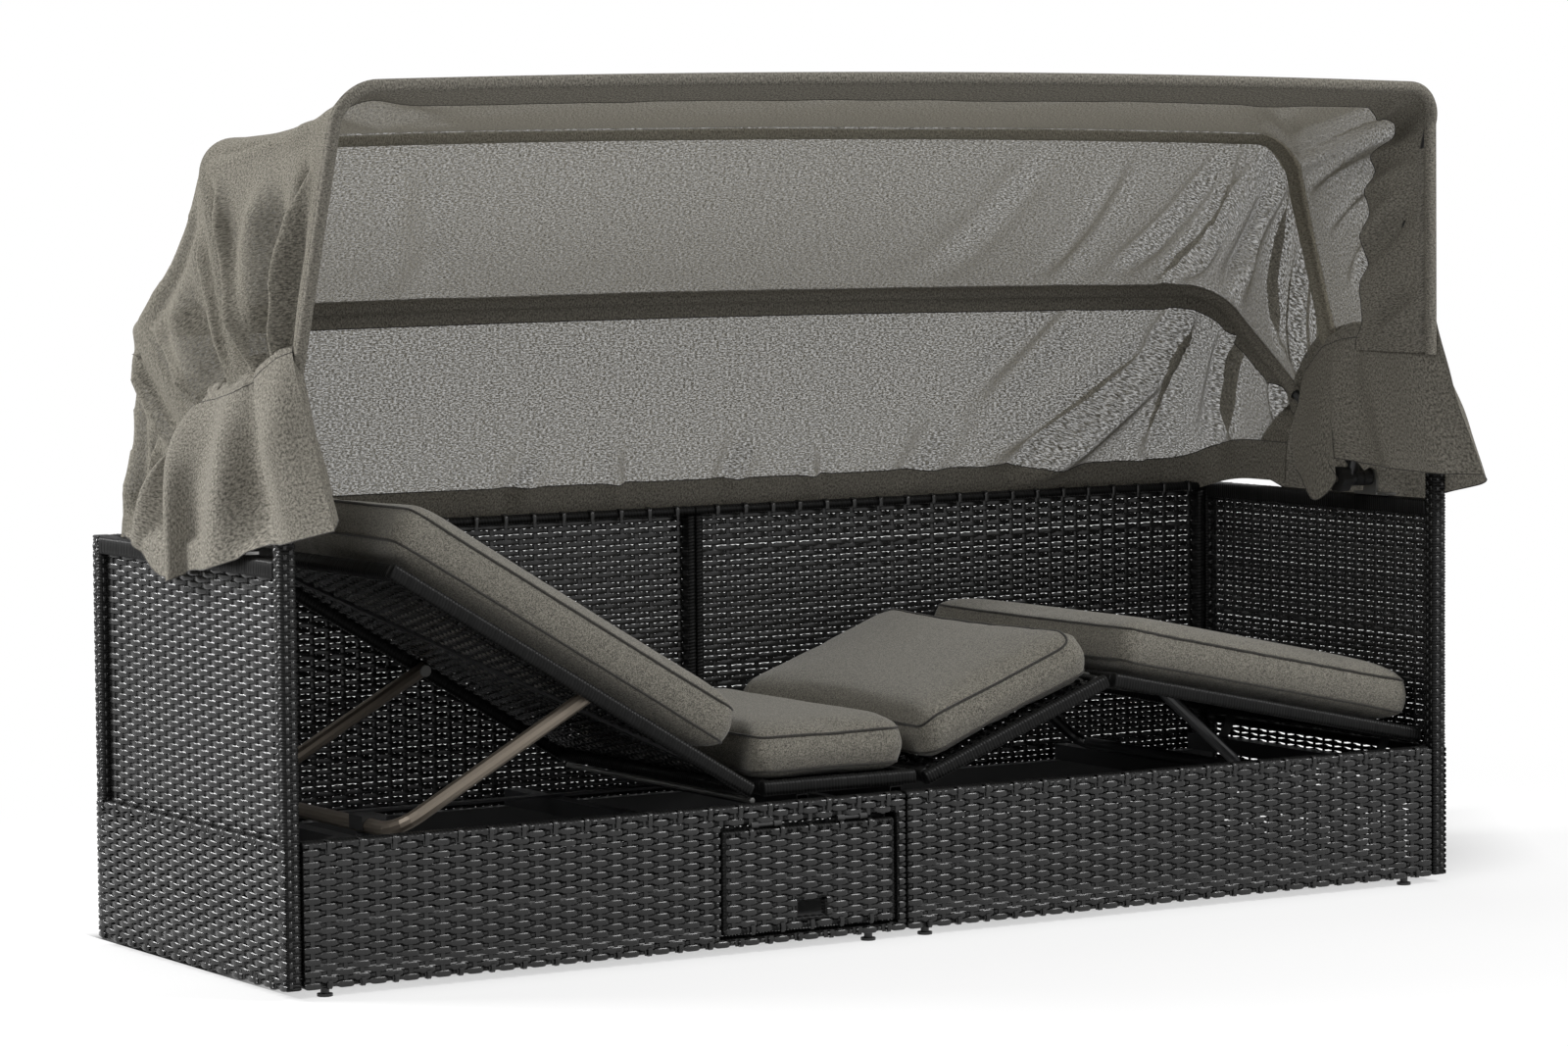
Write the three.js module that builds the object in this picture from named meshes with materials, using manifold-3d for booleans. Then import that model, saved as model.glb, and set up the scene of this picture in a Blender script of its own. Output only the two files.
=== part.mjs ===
// Outdoor daybed with a folding canopy: a woven box of six panels, an inner lounger frame whose
// backrest and knee part are propped up, four boxed cushions, and a hood of three hoops and cloth.
// Millimetres, +Z up, +X along the bed towards the foot end, -Y towards the front.

import * as THREE from "three";
import { mergeVertices } from "three/addons/utils/BufferGeometryUtils.js";
import Module from "manifold-3d";

const wasm = await Module();
wasm.setup();

// Driving dimensions of the woven box
const bedLength = 2000;
const bedDepth = 615;
const armHeight = 595;
const skirtHeight = 213;
const frontPostHeight = 640;
const floorGap = 12;
const panelDepth = 27;
const panelBorder = 14;
const postWidth = 27;
const weaveSheet = 6;
const armSheetInset = 12;
const armRailHeight = 27;
const panelJoint = 0.6;
const postRound = 5;

// Clearances
const touchGap = 0.3;
const runningGap = 0.3;
const cutOver = 1;

// Storage flap in the left front panel
const flapWidth = 291;
const flapHeight = 150;
const flapFromJoint = 22;
const flapBottom = 28;
const flapGap = 2.5;
const flapDepth = 20;
const flapRim = 12;
const handHoleWidth = 45;
const handHoleHeight = 24;
const handHoleFromLeft = 125;
const handHoleFromBottom = 18;
const flapPinRadius = 3;
const flapPinLength = 50;
const flapPinInset = 48;
const flapPinHeight = 183;
const flapKnuckleRadius = 5;
const flapPinProud = 2;

// Glides under the panels
const glideRadius = 11;
const glideStemRadius = 6;
const glideStem = 8;
const glideLeftInset = 65;
const glideRightInset = 75;
const glideInnerLeft = 60;
const glideInnerRight = 38;
const glideInset = 13.5;

// Base rails and cross tubes
const baseRailWidth = 16;
const baseRailHeight = 28;
const baseRailTop = 158;
const crossTubeWidth = 25;
const crossTubeTop = 183;
const tubeWall = 1.6;
const headTubeInset = 210;
const backTubePlace = -330;
const seatTubePlace = -10;
const kneeTubeBeyondProp = 9.5;
const footTubeInset = 54;

// Decks: wrapped border tubes round a woven mat
const deckThickness = 25;
const deckBorder = 20;
const deckMat = 6;
const deckClearance = 3;
const deckCorner = 6;
const deckLevel = 216;
const seatHeadShare = 0.111;
const seatFootShare = 0.019;
const backrestShare = 0.334;
const backrestStart = 10;
const backrestDrop = 2;
const backrestAngle = 31;
const backrestPivotGap = 16;
const backrestPivotZ = 213;
const legShare = 0.297;
const legOverhang = 8;
const legAngle = 11.8;
const footPivotInset = 34;
const footPivotLift = 6;
const kneeHalfGap = 7;
const kneePivotLift = 14;
const thighShare = 0.174;
const thighAngle = 20.8;

// Hinge rods and lugs
const rodRadius = 4;
const lugThickness = 4;
const lugRadius = 8;
const kneeLugRadius = 6.3;
const lugSideInset = 77.5;
const lugSpacing = 5;
const lugReach = 46;
const rodEndInset = 9.5;
const earNotch = 3;

// Lounger sub-frame that slides on the cross tubes
const rackWidth = 18;
const rackTop = 187;
const rackInset = 90;
const rackSideInset = 127.5;
const rackTooth = 14;
const rackToothPitch = 48;
const rackToothHead = 7;
const rackToothMiddle = 10;
const rackToothFoot = 10.8;
const seatBarWidth = 20;
const seatBarFromHead = 72;
const seatBarFromFoot = 28;
const seatBarInset = 15.5;

// Prop under the backrest
const propRadius = 11;
const propPivotShare = 0.4596;
const propPivotLift = 3.5;
const propLengthShare = 0.5135;
const propBend = 40;
const propGap = 1.5;
const propEndReach = 7;
const boltHead = 9;
const boltHeadThickness = 4;
const boltIntoBorder = 10;
const clipWidth = 40;
const clipWall = 3;
const clipLip = 14;

// Prop under the leg part
const kneePropRadius = 9;
const kneePropShare = 0.7576;
const kneePropLift = 0.5;
const kneePropAngle = 40;
const kneePropBend = 30;
const kneePropGap = 30;
const kneePropEndReach = 7;

// Diagonal brace under the backrest's mat
const braceWidth = 16;
const braceLow = 13.4;
const braceHigh = 18.7;
const braceTopInset = 18;
const braceLowInset = 22;
const braceSideInset = 25.5;

// Cushions
const cushionBand = 56;
const cushionCorner = 26;
const cushionCrown = 16;
const cushionBulge = 5;
const cushionSideInset = 3;
const cushionSeatGap = 0.3;
const cushionRings = 6;
const cushionCornerSteps = 4;
const cushionSideSteps = 5;
const seatSeamLift = 6;
const thighSeamLift = 10;
const legSeamLift = 14;
const backrestSeamLift = 24;
const backrestCushionFrom = 60;
const backrestCushionOver = 32;
const seatCushionOver = 14;
const seatCushionSlant = 8;
const backrestCushionSlant = 14;
const seatCushionEndGap = 2;
const thighCushionSlant = 30;
const cushionEndInset = 4;
const footCushionInset = 10;
const footCushionSlant = 14;

// Canopy hoops and their pivots
const pivotY = -150;
const pivotLift = 27;
const hoopRadius = 7;
const hoopPitch = 15.5;
const hoopInset = 69;
const hoopBend = 55;
const hoopBow = 14;
const frontHoopReach = 656;
const middleHoopReach = 575;
const rearHoopReach = 503;
const frontHoopAngle = 70.1;
const middleHoopAngle = 109.1;
const rearHoopAngle = 144.4;
const eyeRadius = 12;
const pivotBoltRadius = 5;
const bracketLength = 80;
const bracketPlate = 4;
const bracketEar = 5;
const bracketEarInset = 28;
const bracketEarWidth = 32;
const bracketRound = 16;
const knobRadius = 21;
const knobLength = 18;
const knobFlutes = 6;
const knobFluteDepth = 3;

// Canopy cloth
const clothThickness = 2;
const clothGap = 0.9;
const clothSeam = 0.25;
const clothSag = 16;
const clothWaist = 215;
const clothFrontWrap = 9;
const hemBackOut = 16.5;
const hemBackDrop = 23;
const hemSideLift = 11;
const foldDepth = 7;
const foldCount = 5;
const clothSteps = 8;
const skirtWaistFront = 58;
const skirtWaistRear = 152;
const skirtHemFront = 275;
const skirtHemRear = 325;
const skirtHemInset = 8;
const skirtHemOut = 4;
const skirtHemBulge = 24;
const skirtHemFrontLift = 39;
const skirtHemRearLift = 27;
const skirtHemDip = 67;
const skirtThickness = 2;
const skirtFlute = 8;
const skirtFluteCount = 6;
const skirtStandOff = 0.4;
const skirtSteps = 7;
const skirtAround = 28;
const hemBulgePowerShare = 0.6;
const hemDipPowerShare = 1.15;

// Colours
const wickerColour = 0x2b2d2f;
const tubeColour = 0x1c1d1f;
const propColour = 0x8d7d6b;
const clothColour = 0x77736a;
const cushionColour = 0x827c6d;
const plasticColour = 0x141414;
const steelColour = 0x9a9a98;

// Counts of facets
const roundSides = 12;
const boltHeadSides = 10;
const knobFluteSides = 6;
const bendStep = 18;
const roundSegments = 2;
const lugSegments = 4;

const rad = THREE.MathUtils.degToRad;
const half = (value) => value / 2;

function finish(color, roughness, metalness) {
  return () => new THREE.MeshStandardMaterial({ color, roughness, metalness });
}
const wicker = finish(wickerColour, 0.5, 0);
const darkTube = finish(tubeColour, 0.55, 0.4);
const propTube = finish(propColour, 0.4, 0.6);
const clothFinish = finish(clothColour, 0.95, 0);
const cushionFinish = finish(cushionColour, 0.95, 0);
const plastic = finish(plasticColour, 0.5, 0);
const steel = finish(steelColour, 0.35, 0.9);

// Closed solids and booleans
function solid(geometry) {
  const bare = new THREE.BufferGeometry();
  const source = geometry.index ? geometry.toNonIndexed() : geometry;
  bare.setAttribute("position", source.getAttribute("position"));
  const merged = mergeVertices(bare, 1e-3);
  return new wasm.Manifold(
    new wasm.Mesh({
      numProp: 3,
      vertProperties: merged.attributes.position.array,
      triVerts: new Uint32Array(merged.index.array),
    }),
  );
}

function join(...parts) {
  return parts.reduce((whole, part) => whole.add(part));
}

function cut(whole, ...tools) {
  return tools.reduce((rest, tool) => rest.subtract(tool), whole);
}

function meshOf(manifold, name, material) {
  const data = manifold.getMesh();
  const geometry = new THREE.BufferGeometry();
  const positions = new Float32Array(data.numVert * 3);
  for (let i = 0; i < data.numVert; i++) {
    const at = i * data.numProp;
    positions.set(data.vertProperties.subarray(at, at + 3), i * 3);
  }
  geometry.setAttribute("position", new THREE.BufferAttribute(positions, 3));
  geometry.setIndex(new THREE.BufferAttribute(data.triVerts, 1));
  geometry.computeVertexNormals();
  const mesh = new THREE.Mesh(geometry, material());
  mesh.name = name;
  return mesh;
}

// A box given by its lowest and highest corner
function block([x0, y0, z0], [x1, y1, z1]) {
  const geometry = new THREE.BoxGeometry(x1 - x0, y1 - y0, z1 - z0);
  geometry.translate(half(x0 + x1), half(y0 + y1), half(z0 + z1));
  return solid(geometry);
}

// A cylinder between two points on a line along X or Y
function rod(axis, from, to, radius, a, b, sides = roundSides) {
  const geometry = new THREE.CylinderGeometry(radius, radius, to - from, sides);
  if (axis === "x") {
    geometry.rotateZ(-Math.PI / 2);
    geometry.translate(half(from + to), a, b);
  } else if (axis === "y") {
    geometry.translate(a, half(from + to), b);
  } else {
    geometry.rotateX(Math.PI / 2);
    geometry.translate(a, b, half(from + to));
  }
  return solid(geometry);
}

// An outline in the X-Z plane, extruded along +Y from y0 to y1
function plateXZ(shape, y0, y1, curveSegments = roundSegments) {
  const geometry = new THREE.ExtrudeGeometry(shape, {
    depth: y1 - y0,
    bevelEnabled: false,
    curveSegments,
  });
  geometry.rotateX(Math.PI / 2);
  geometry.translate(0, y1, 0);
  return solid(geometry);
}

// An outline in the Y-Z plane, extruded along +X from x0 to x1
function plateYZ(shape, x0, x1, curveSegments = roundSegments) {
  const geometry = new THREE.ExtrudeGeometry(shape, {
    depth: x1 - x0,
    bevelEnabled: false,
    curveSegments,
  });
  geometry.rotateX(Math.PI / 2);
  geometry.rotateZ(Math.PI / 2);
  geometry.translate(x0, 0, 0);
  return solid(geometry);
}

// An outline in the X-Y plane, extruded along +Z from z0 to z1
function plateXY(shape, z0, z1, curveSegments = roundSegments) {
  const geometry = new THREE.ExtrudeGeometry(shape, {
    depth: z1 - z0,
    bevelEnabled: false,
    curveSegments,
  });
  geometry.translate(0, 0, z0);
  return solid(geometry);
}

function roundedRect(x0, y0, x1, y1, r) {
  const shape = new THREE.Shape();
  shape.moveTo(x0 + r, y0);
  shape.lineTo(x1 - r, y0);
  shape.absarc(x1 - r, y0 + r, r, -Math.PI / 2, 0);
  shape.lineTo(x1, y1 - r);
  shape.absarc(x1 - r, y1 - r, r, 0, Math.PI / 2);
  shape.lineTo(x0 + r, y1);
  shape.absarc(x0 + r, y1 - r, r, Math.PI / 2, Math.PI);
  shape.lineTo(x0, y0 + r);
  shape.absarc(x0 + r, y0 + r, r, Math.PI, Math.PI * 1.5);
  return shape;
}

// A straight slot outline: two round ends joined by their tangents
function capsule(ax, ay, ra, bx, by, rb) {
  const along = Math.atan2(by - ay, bx - ax);
  const lean = Math.acos((ra - rb) / Math.hypot(bx - ax, by - ay));
  const shape = new THREE.Shape();
  shape.absarc(ax, ay, ra, along + lean, along - lean + 2 * Math.PI);
  shape.absarc(bx, by, rb, along - lean, along + lean);
  return shape;
}

// Tube centre line: straight runs joined by round bends, with rings only where the line turns
class BentPath extends THREE.Curve {
  constructor(corners, bendRadius) {
    super();
    this.stops = [];
    const last = corners.length - 1;
    const heading = (i) => corners[i + 1].clone().sub(corners[i]).normalize();
    this.add(corners[0], heading(0));
    for (let i = 1; i < last; i++) {
      const before = heading(i - 1);
      const after = heading(i);
      const turn = before.angleTo(after);
      const run = bendRadius * Math.tan(turn / 2);
      const start = corners[i].clone().addScaledVector(before, -run);
      const side = after.clone().addScaledVector(before, -after.dot(before)).normalize();
      const centre = start.clone().addScaledVector(side, bendRadius);
      const steps = Math.max(1, Math.round(turn / rad(bendStep)));
      for (let k = 0; k <= steps; k++) {
        const angle = (turn * k) / steps;
        const point = centre
          .clone()
          .addScaledVector(side, -bendRadius * Math.cos(angle))
          .addScaledVector(before, bendRadius * Math.sin(angle));
        const tangent = before
          .clone()
          .multiplyScalar(Math.cos(angle))
          .addScaledVector(side, Math.sin(angle));
        this.add(point, tangent);
      }
    }
    this.add(corners[last], heading(last - 1));
  }
  add(point, tangent) {
    this.stops.push({ point: point.clone(), tangent: tangent.clone().normalize() });
  }
  stop(t) {
    return this.stops[Math.round(t * (this.stops.length - 1))];
  }
  getPoint(t, target = new THREE.Vector3()) {
    return target.copy(this.stop(t).point);
  }
  getPointAt(t, target) {
    return this.getPoint(t, target);
  }
  getTangent(t, target = new THREE.Vector3()) {
    return target.copy(this.stop(t).tangent);
  }
  getTangentAt(t, target) {
    return this.getTangent(t, target);
  }
}

function tube(corners, radius, bendRadius, sides = roundSides) {
  const path = new BentPath(corners, bendRadius);
  const section = new THREE.Shape();
  for (let k = 0; k < sides; k++) {
    const angle = (2 * Math.PI * k) / sides;
    const place = [radius * Math.cos(angle), radius * Math.sin(angle)];
    if (k) section.lineTo(...place);
    else section.moveTo(...place);
  }
  return solid(
    new THREE.ExtrudeGeometry(section, {
      steps: path.stops.length - 1,
      extrudePath: path,
      bevelEnabled: false,
    }),
  );
}

// A closed sheet between two grids of points, outer and inner, with rows of equal length
function sheet(outer, inner) {
  const rows = outer.length;
  const columns = outer[0].length;
  const positions = [];
  for (const grid of [outer, inner]) {
    for (const row of grid) {
      for (const p of row) positions.push(p.x, p.y, p.z);
    }
  }
  const index = [];
  const at = (side, i, j) => side * rows * columns + i * columns + j;
  const quad = (a, b, c, d) => index.push(a, b, c, a, c, d);
  for (let i = 0; i < rows - 1; i++) {
    for (let j = 0; j < columns - 1; j++) {
      quad(at(0, i, j), at(0, i, j + 1), at(0, i + 1, j + 1), at(0, i + 1, j));
      quad(at(1, i, j), at(1, i + 1, j), at(1, i + 1, j + 1), at(1, i, j + 1));
    }
    const end = columns - 1;
    quad(at(0, i, 0), at(0, i + 1, 0), at(1, i + 1, 0), at(1, i, 0));
    quad(at(0, i, end), at(1, i, end), at(1, i + 1, end), at(0, i + 1, end));
  }
  for (let j = 0; j < columns - 1; j++) {
    const end = rows - 1;
    quad(at(0, 0, j), at(1, 0, j), at(1, 0, j + 1), at(0, 0, j + 1));
    quad(at(0, end, j), at(0, end, j + 1), at(1, end, j + 1), at(1, end, j));
  }
  const geometry = new THREE.BufferGeometry();
  geometry.setAttribute("position", new THREE.Float32BufferAttribute(positions, 3));
  geometry.setIndex(index);
  const made = solid(geometry);
  if (made.volume() > 0) return made;
  for (let k = 0; k < index.length; k += 3) {
    [index[k + 1], index[k + 2]] = [index[k + 2], index[k + 1]];
  }
  geometry.setIndex(index);
  return solid(geometry);
}

// Places worked out from the driving dimensions
const endX = half(bedLength);
const frontY = -half(bedDepth);
const backY = half(bedDepth);
const innerFront = frontY + panelDepth;
const innerBack = backY - panelDepth;
const deckFront = innerFront + deckClearance;
const deckBack = innerBack - deckClearance;
const panelEnd = endX - postWidth - panelJoint;
const seatDeckFrom = -seatHeadShare * bedLength;
const seatDeckTo = seatFootShare * bedLength;
const backrestPivotX = seatDeckFrom - backrestPivotGap;
const backrestLength = backrestShare * bedLength;
const legLength = legShare * bedLength;
const thighLength = thighShare * bedLength;
const footPivotX = endX - footPivotInset;
const footPivotZ = deckLevel + footPivotLift;
const rodEnd = deckBack - rodEndInset;
const lugPlace = deckBack - lugSideInset;
const rackPlace = deckBack - rackSideInset;
const pivotZ = armHeight + pivotLift;
const hoopFirst = endX - hoopInset;

const model = new THREE.Group();
const put = (parent, manifold, name, material) => parent.add(meshOf(manifold, name, material));

// Woven panels of the box: a sheet of weave on the outer side and a border frame behind it
function wovenPanel(x0, x1, height, outerY, innerY, openings = []) {
  const sheetY = outerY + Math.sign(innerY - outerY) * weaveSheet;
  const skin = block(
    [x0, Math.min(outerY, sheetY), floorGap],
    [x1, Math.max(outerY, sheetY), height],
  );
  const low = Math.min(outerY, innerY);
  const high = Math.max(outerY, innerY);
  const frame = cut(
    plateXZ(roundedRect(x0, floorGap, x1, height, postRound), low, high),
    block(
      [x0 + panelBorder, low - cutOver, floorGap + panelBorder],
      [x1 - panelBorder, high + cutOver, height - panelBorder],
    ),
  );
  let panel = frame.add(skin.intersect(plateXZ(
    roundedRect(x0, floorGap, x1, height, postRound), low, high,
  )));
  for (const [left, bottom, right, top] of openings) {
    const rim = block(
      [left - panelBorder, low, Math.max(bottom - panelBorder, floorGap)],
      [right + panelBorder, high, top + panelBorder],
    );
    panel = cut(panel.add(rim), block([left, low - cutOver, bottom], [right, high + cutOver, top]));
  }
  return panel;
}

const flapRight = -flapFromJoint;
const flapLeft = flapRight - flapWidth;
const flapTop = flapBottom + flapHeight;

function boxPanels(parent) {
  const opening = [
    flapLeft - flapGap,
    flapBottom - flapGap,
    flapRight + flapGap,
    flapTop + flapGap,
  ];
  const seam = half(panelJoint);
  put(
    parent,
    cut(
      wovenPanel(-panelEnd, -seam, skirtHeight, frontY, innerFront, [opening]),
      ...flapPinPlaces().map(knuckleRecess),
    ),
    "front_panel_left",
    wicker,
  );
  put(parent, wovenPanel(seam, panelEnd, skirtHeight, frontY, innerFront), "front_panel_right", wicker);
  put(parent, wovenPanel(-panelEnd, -seam, armHeight, backY, innerBack), "back_panel_left", wicker);
  put(parent, wovenPanel(seam, panelEnd, armHeight, backY, innerBack), "back_panel_right", wicker);
}

// The hollow in the panel's edge that clears one hinge of the flap
function knuckleRecess(x) {
  const reach = half(flapPinLength) + touchGap;
  const radius = flapKnuckleRadius + half(flapGap);
  return join(
    rod("x", x - reach, x + reach, radius, flapPinY(), flapPinHeight),
    block([x - reach, frontY - radius, flapTop], [x + reach, flapPinY() + radius, flapPinHeight]),
  );
}

// One end of the box: posts, arm rail, skirt and the woven arm panel set back between them
function endPanel(side) {
  const outer = side * endX;
  const inner = side * (endX - postWidth);
  const span = (a, b) => [Math.min(a, b), Math.max(a, b)];
  const [x0, x1] = span(outer, inner);
  const outline = new THREE.Shape();
  outline.moveTo(frontY, floorGap);
  outline.lineTo(backY, floorGap);
  outline.lineTo(backY, armHeight);
  outline.lineTo(frontY + postWidth, armHeight);
  outline.lineTo(frontY + postWidth, frontPostHeight);
  outline.lineTo(frontY, frontPostHeight);
  const full = plateYZ(outline, x0, x1);
  const open = plateYZ(
    roundedRect(frontY + postWidth, skirtHeight, backY - postWidth, armHeight - armRailHeight,
      postRound),
    x0 - cutOver,
    x1 + cutOver,
  );
  const [s0, s1] = span(outer - side * armSheetInset, outer - side * (armSheetInset + weaveSheet));
  const arm = block([s0, frontY + half(postWidth), skirtHeight - panelBorder], [
    s1,
    backY - half(postWidth),
    armHeight - half(armRailHeight),
  ]);
  const [c0, c1] = span(outer - side * weaveSheet, inner - side * cutOver);
  const hollow = block(
    [c0, frontY + postWidth, floorGap + panelBorder],
    [c1, backY - postWidth, skirtHeight - panelBorder],
  );
  return cut(full, open, hollow).add(arm);
}

// Storage flap: a shallow woven tray with a hand hole, hung from two knuckles
const flapPinPlaces = () => [flapLeft + flapPinInset + half(flapPinLength),
  flapRight - flapPinInset - half(flapPinLength)];
const flapPinY = () => frontY + flapPinProud;

function storageFlap() {
  const back = frontY + flapDepth;
  const body = plateXZ(roundedRect(flapLeft, flapBottom, flapRight, flapTop, postRound), frontY, back);
  const tray = block(
    [flapLeft + flapRim, frontY + weaveSheet, flapBottom + flapRim],
    [flapRight - flapRim, back + cutOver, flapTop - flapRim],
  );
  const left = flapLeft + handHoleFromLeft;
  const bottom = flapBottom + handHoleFromBottom;
  const collar = block(
    [left - panelBorder, frontY, bottom - half(flapRim)],
    [left + handHoleWidth + panelBorder, back, bottom + handHoleHeight + half(flapRim)],
  );
  const hole = plateXZ(
    roundedRect(left, bottom, left + handHoleWidth, bottom + handHoleHeight, half(postRound)),
    frontY - cutOver,
    back + cutOver,
  );
  let flap = cut(body, tray).add(collar).subtract(hole);
  for (const x of flapPinPlaces()) {
    const from = x - half(half(flapPinLength));
    const to = x + half(half(flapPinLength));
    const ear = new THREE.Shape();
    ear.absarc(flapPinY(), flapPinHeight, flapKnuckleRadius, 0, Math.PI);
    ear.lineTo(flapPinY() - flapKnuckleRadius, flapTop - flapRim);
    ear.lineTo(flapPinY() + flapKnuckleRadius, flapTop - flapRim);
    flap = flap.add(plateYZ(ear, from, to, lugSegments));
    flap = flap.subtract(
      rod("x", from - cutOver, to + cutOver, flapPinRadius + runningGap, flapPinY(), flapPinHeight),
    );
  }
  return flap;
}

function flapHinge(x) {
  const from = x - half(flapPinLength);
  const to = x + half(flapPinLength);
  const quarter = half(half(flapPinLength));
  const pin = rod("x", from, to, flapPinRadius, flapPinY(), flapPinHeight);
  const left = rod("x", from, from + quarter - touchGap, flapKnuckleRadius, flapPinY(), flapPinHeight);
  const right = rod("x", to - quarter + touchGap, to, flapKnuckleRadius, flapPinY(), flapPinHeight);
  return join(pin, left, right);
}

// Glide: a stepped plastic foot under a panel
function glide(x, y) {
  const profile = [
    [0, 0],
    [glideRadius - half(touchGap), 0],
    [glideRadius, floorGap - glideStem],
    [glideStemRadius, floorGap - glideStem + half(half(floorGap - glideStem))],
    [glideStemRadius, floorGap],
    [0, floorGap],
  ].map(([r, z]) => new THREE.Vector2(r, z));
  const geometry = new THREE.LatheGeometry(profile, roundSides);
  geometry.rotateX(Math.PI / 2);
  geometry.translate(x, y, 0);
  return solid(geometry);
}

// Rectangular tube along X or Y with a thin wall and open ends
function boxTube(axis, from, to, centre, width, low, high) {
  const lowSide = centre - half(width);
  const highSide = centre + half(width);
  const corner = (along, across, z) => (axis === "x" ? [along, across, z] : [across, along, z]);
  return cut(
    block(corner(from, lowSide, low), corner(to, highSide, high)),
    block(
      corner(from - cutOver, lowSide + tubeWall, low + tubeWall),
      corner(to + cutOver, highSide - tubeWall, high - tubeWall),
    ),
  );
}

function baseFrame(parent) {
  const railEnd = endX - postWidth - touchGap;
  const railFront = innerFront + touchGap + half(baseRailWidth);
  const railBack = innerBack - touchGap - half(baseRailWidth);
  const low = baseRailTop - baseRailHeight;
  const crossTubePlaces = {
    head: headTubeInset - endX,
    back: backTubePlace,
    seat: seatTubePlace,
    knee: kneePropFootX + kneeTubeBeyondProp,
    foot: endX - footTubeInset,
  };
  put(parent, boxTube("x", -railEnd, railEnd, railFront, baseRailWidth, low, baseRailTop),
    "base_rail_front", darkTube);
  put(parent, boxTube("x", -railEnd, railEnd, railBack, baseRailWidth, low, baseRailTop),
    "base_rail_rear", darkTube);
  for (const [place, x] of Object.entries(crossTubePlaces)) {
    const body = boxTube("y", innerFront + touchGap, innerBack - touchGap, x, crossTubeWidth,
      baseRailTop + touchGap, crossTubeTop);
    put(parent, place === "foot" ? join(body, ...footEars(x)) : body, `${place}_cross_tube`, darkTube);
  }
}

// Lugs: flat ears that hold a hinge rod
const lugSides = [-1, 1];

function footEars(x) {
  return lugSides.map((side) => {
    const y = side * lugPlace;
    const plate = plateXZ(
      capsule(footPivotX, footPivotZ, lugRadius, x, crossTubeTop, lugRadius),
      y - half(lugThickness),
      y + half(lugThickness),
      lugSegments,
    );
    return plate
      .subtract(rod("y", y - lugRadius, y + lugRadius, rodRadius + runningGap, footPivotX, footPivotZ))
      .subtract(block(
        [x - crossTubeWidth, y - lugRadius, crossTubeTop - lugRadius - cutOver],
        [x + crossTubeWidth, y + lugRadius, crossTubeTop - tubeWall],
      ));
  });
}

// Deck in its own frame: x along the deck, z up from its underside, with a mat between border tubes
function deck(length) {
  const outline = roundedRect(0, deckFront, length, deckBack, deckCorner);
  const plate = plateXY(outline, 0, deckThickness);
  const under = block(
    [deckBorder, deckFront + deckBorder, -cutOver],
    [length - deckBorder, deckBack - deckBorder, deckThickness - deckMat],
  );
  return cut(plate, under);
}

// A pair of lugs round a pivot, reaching under the deck; x and z are in the deck's frame
function deckLugs(hingeX, hingeZ, reachX, radius, place) {
  return lugSides.map((side) => {
    const y = side * place;
    return plateXZ(
      capsule(hingeX, hingeZ, radius, reachX, 0, half(radius)),
      y - half(lugThickness),
      y + half(lugThickness),
      lugSegments,
    );
  });
}

function drill(x, z, from, to, radius) {
  return rod("y", from, to, radius + runningGap, x, z);
}

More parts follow.
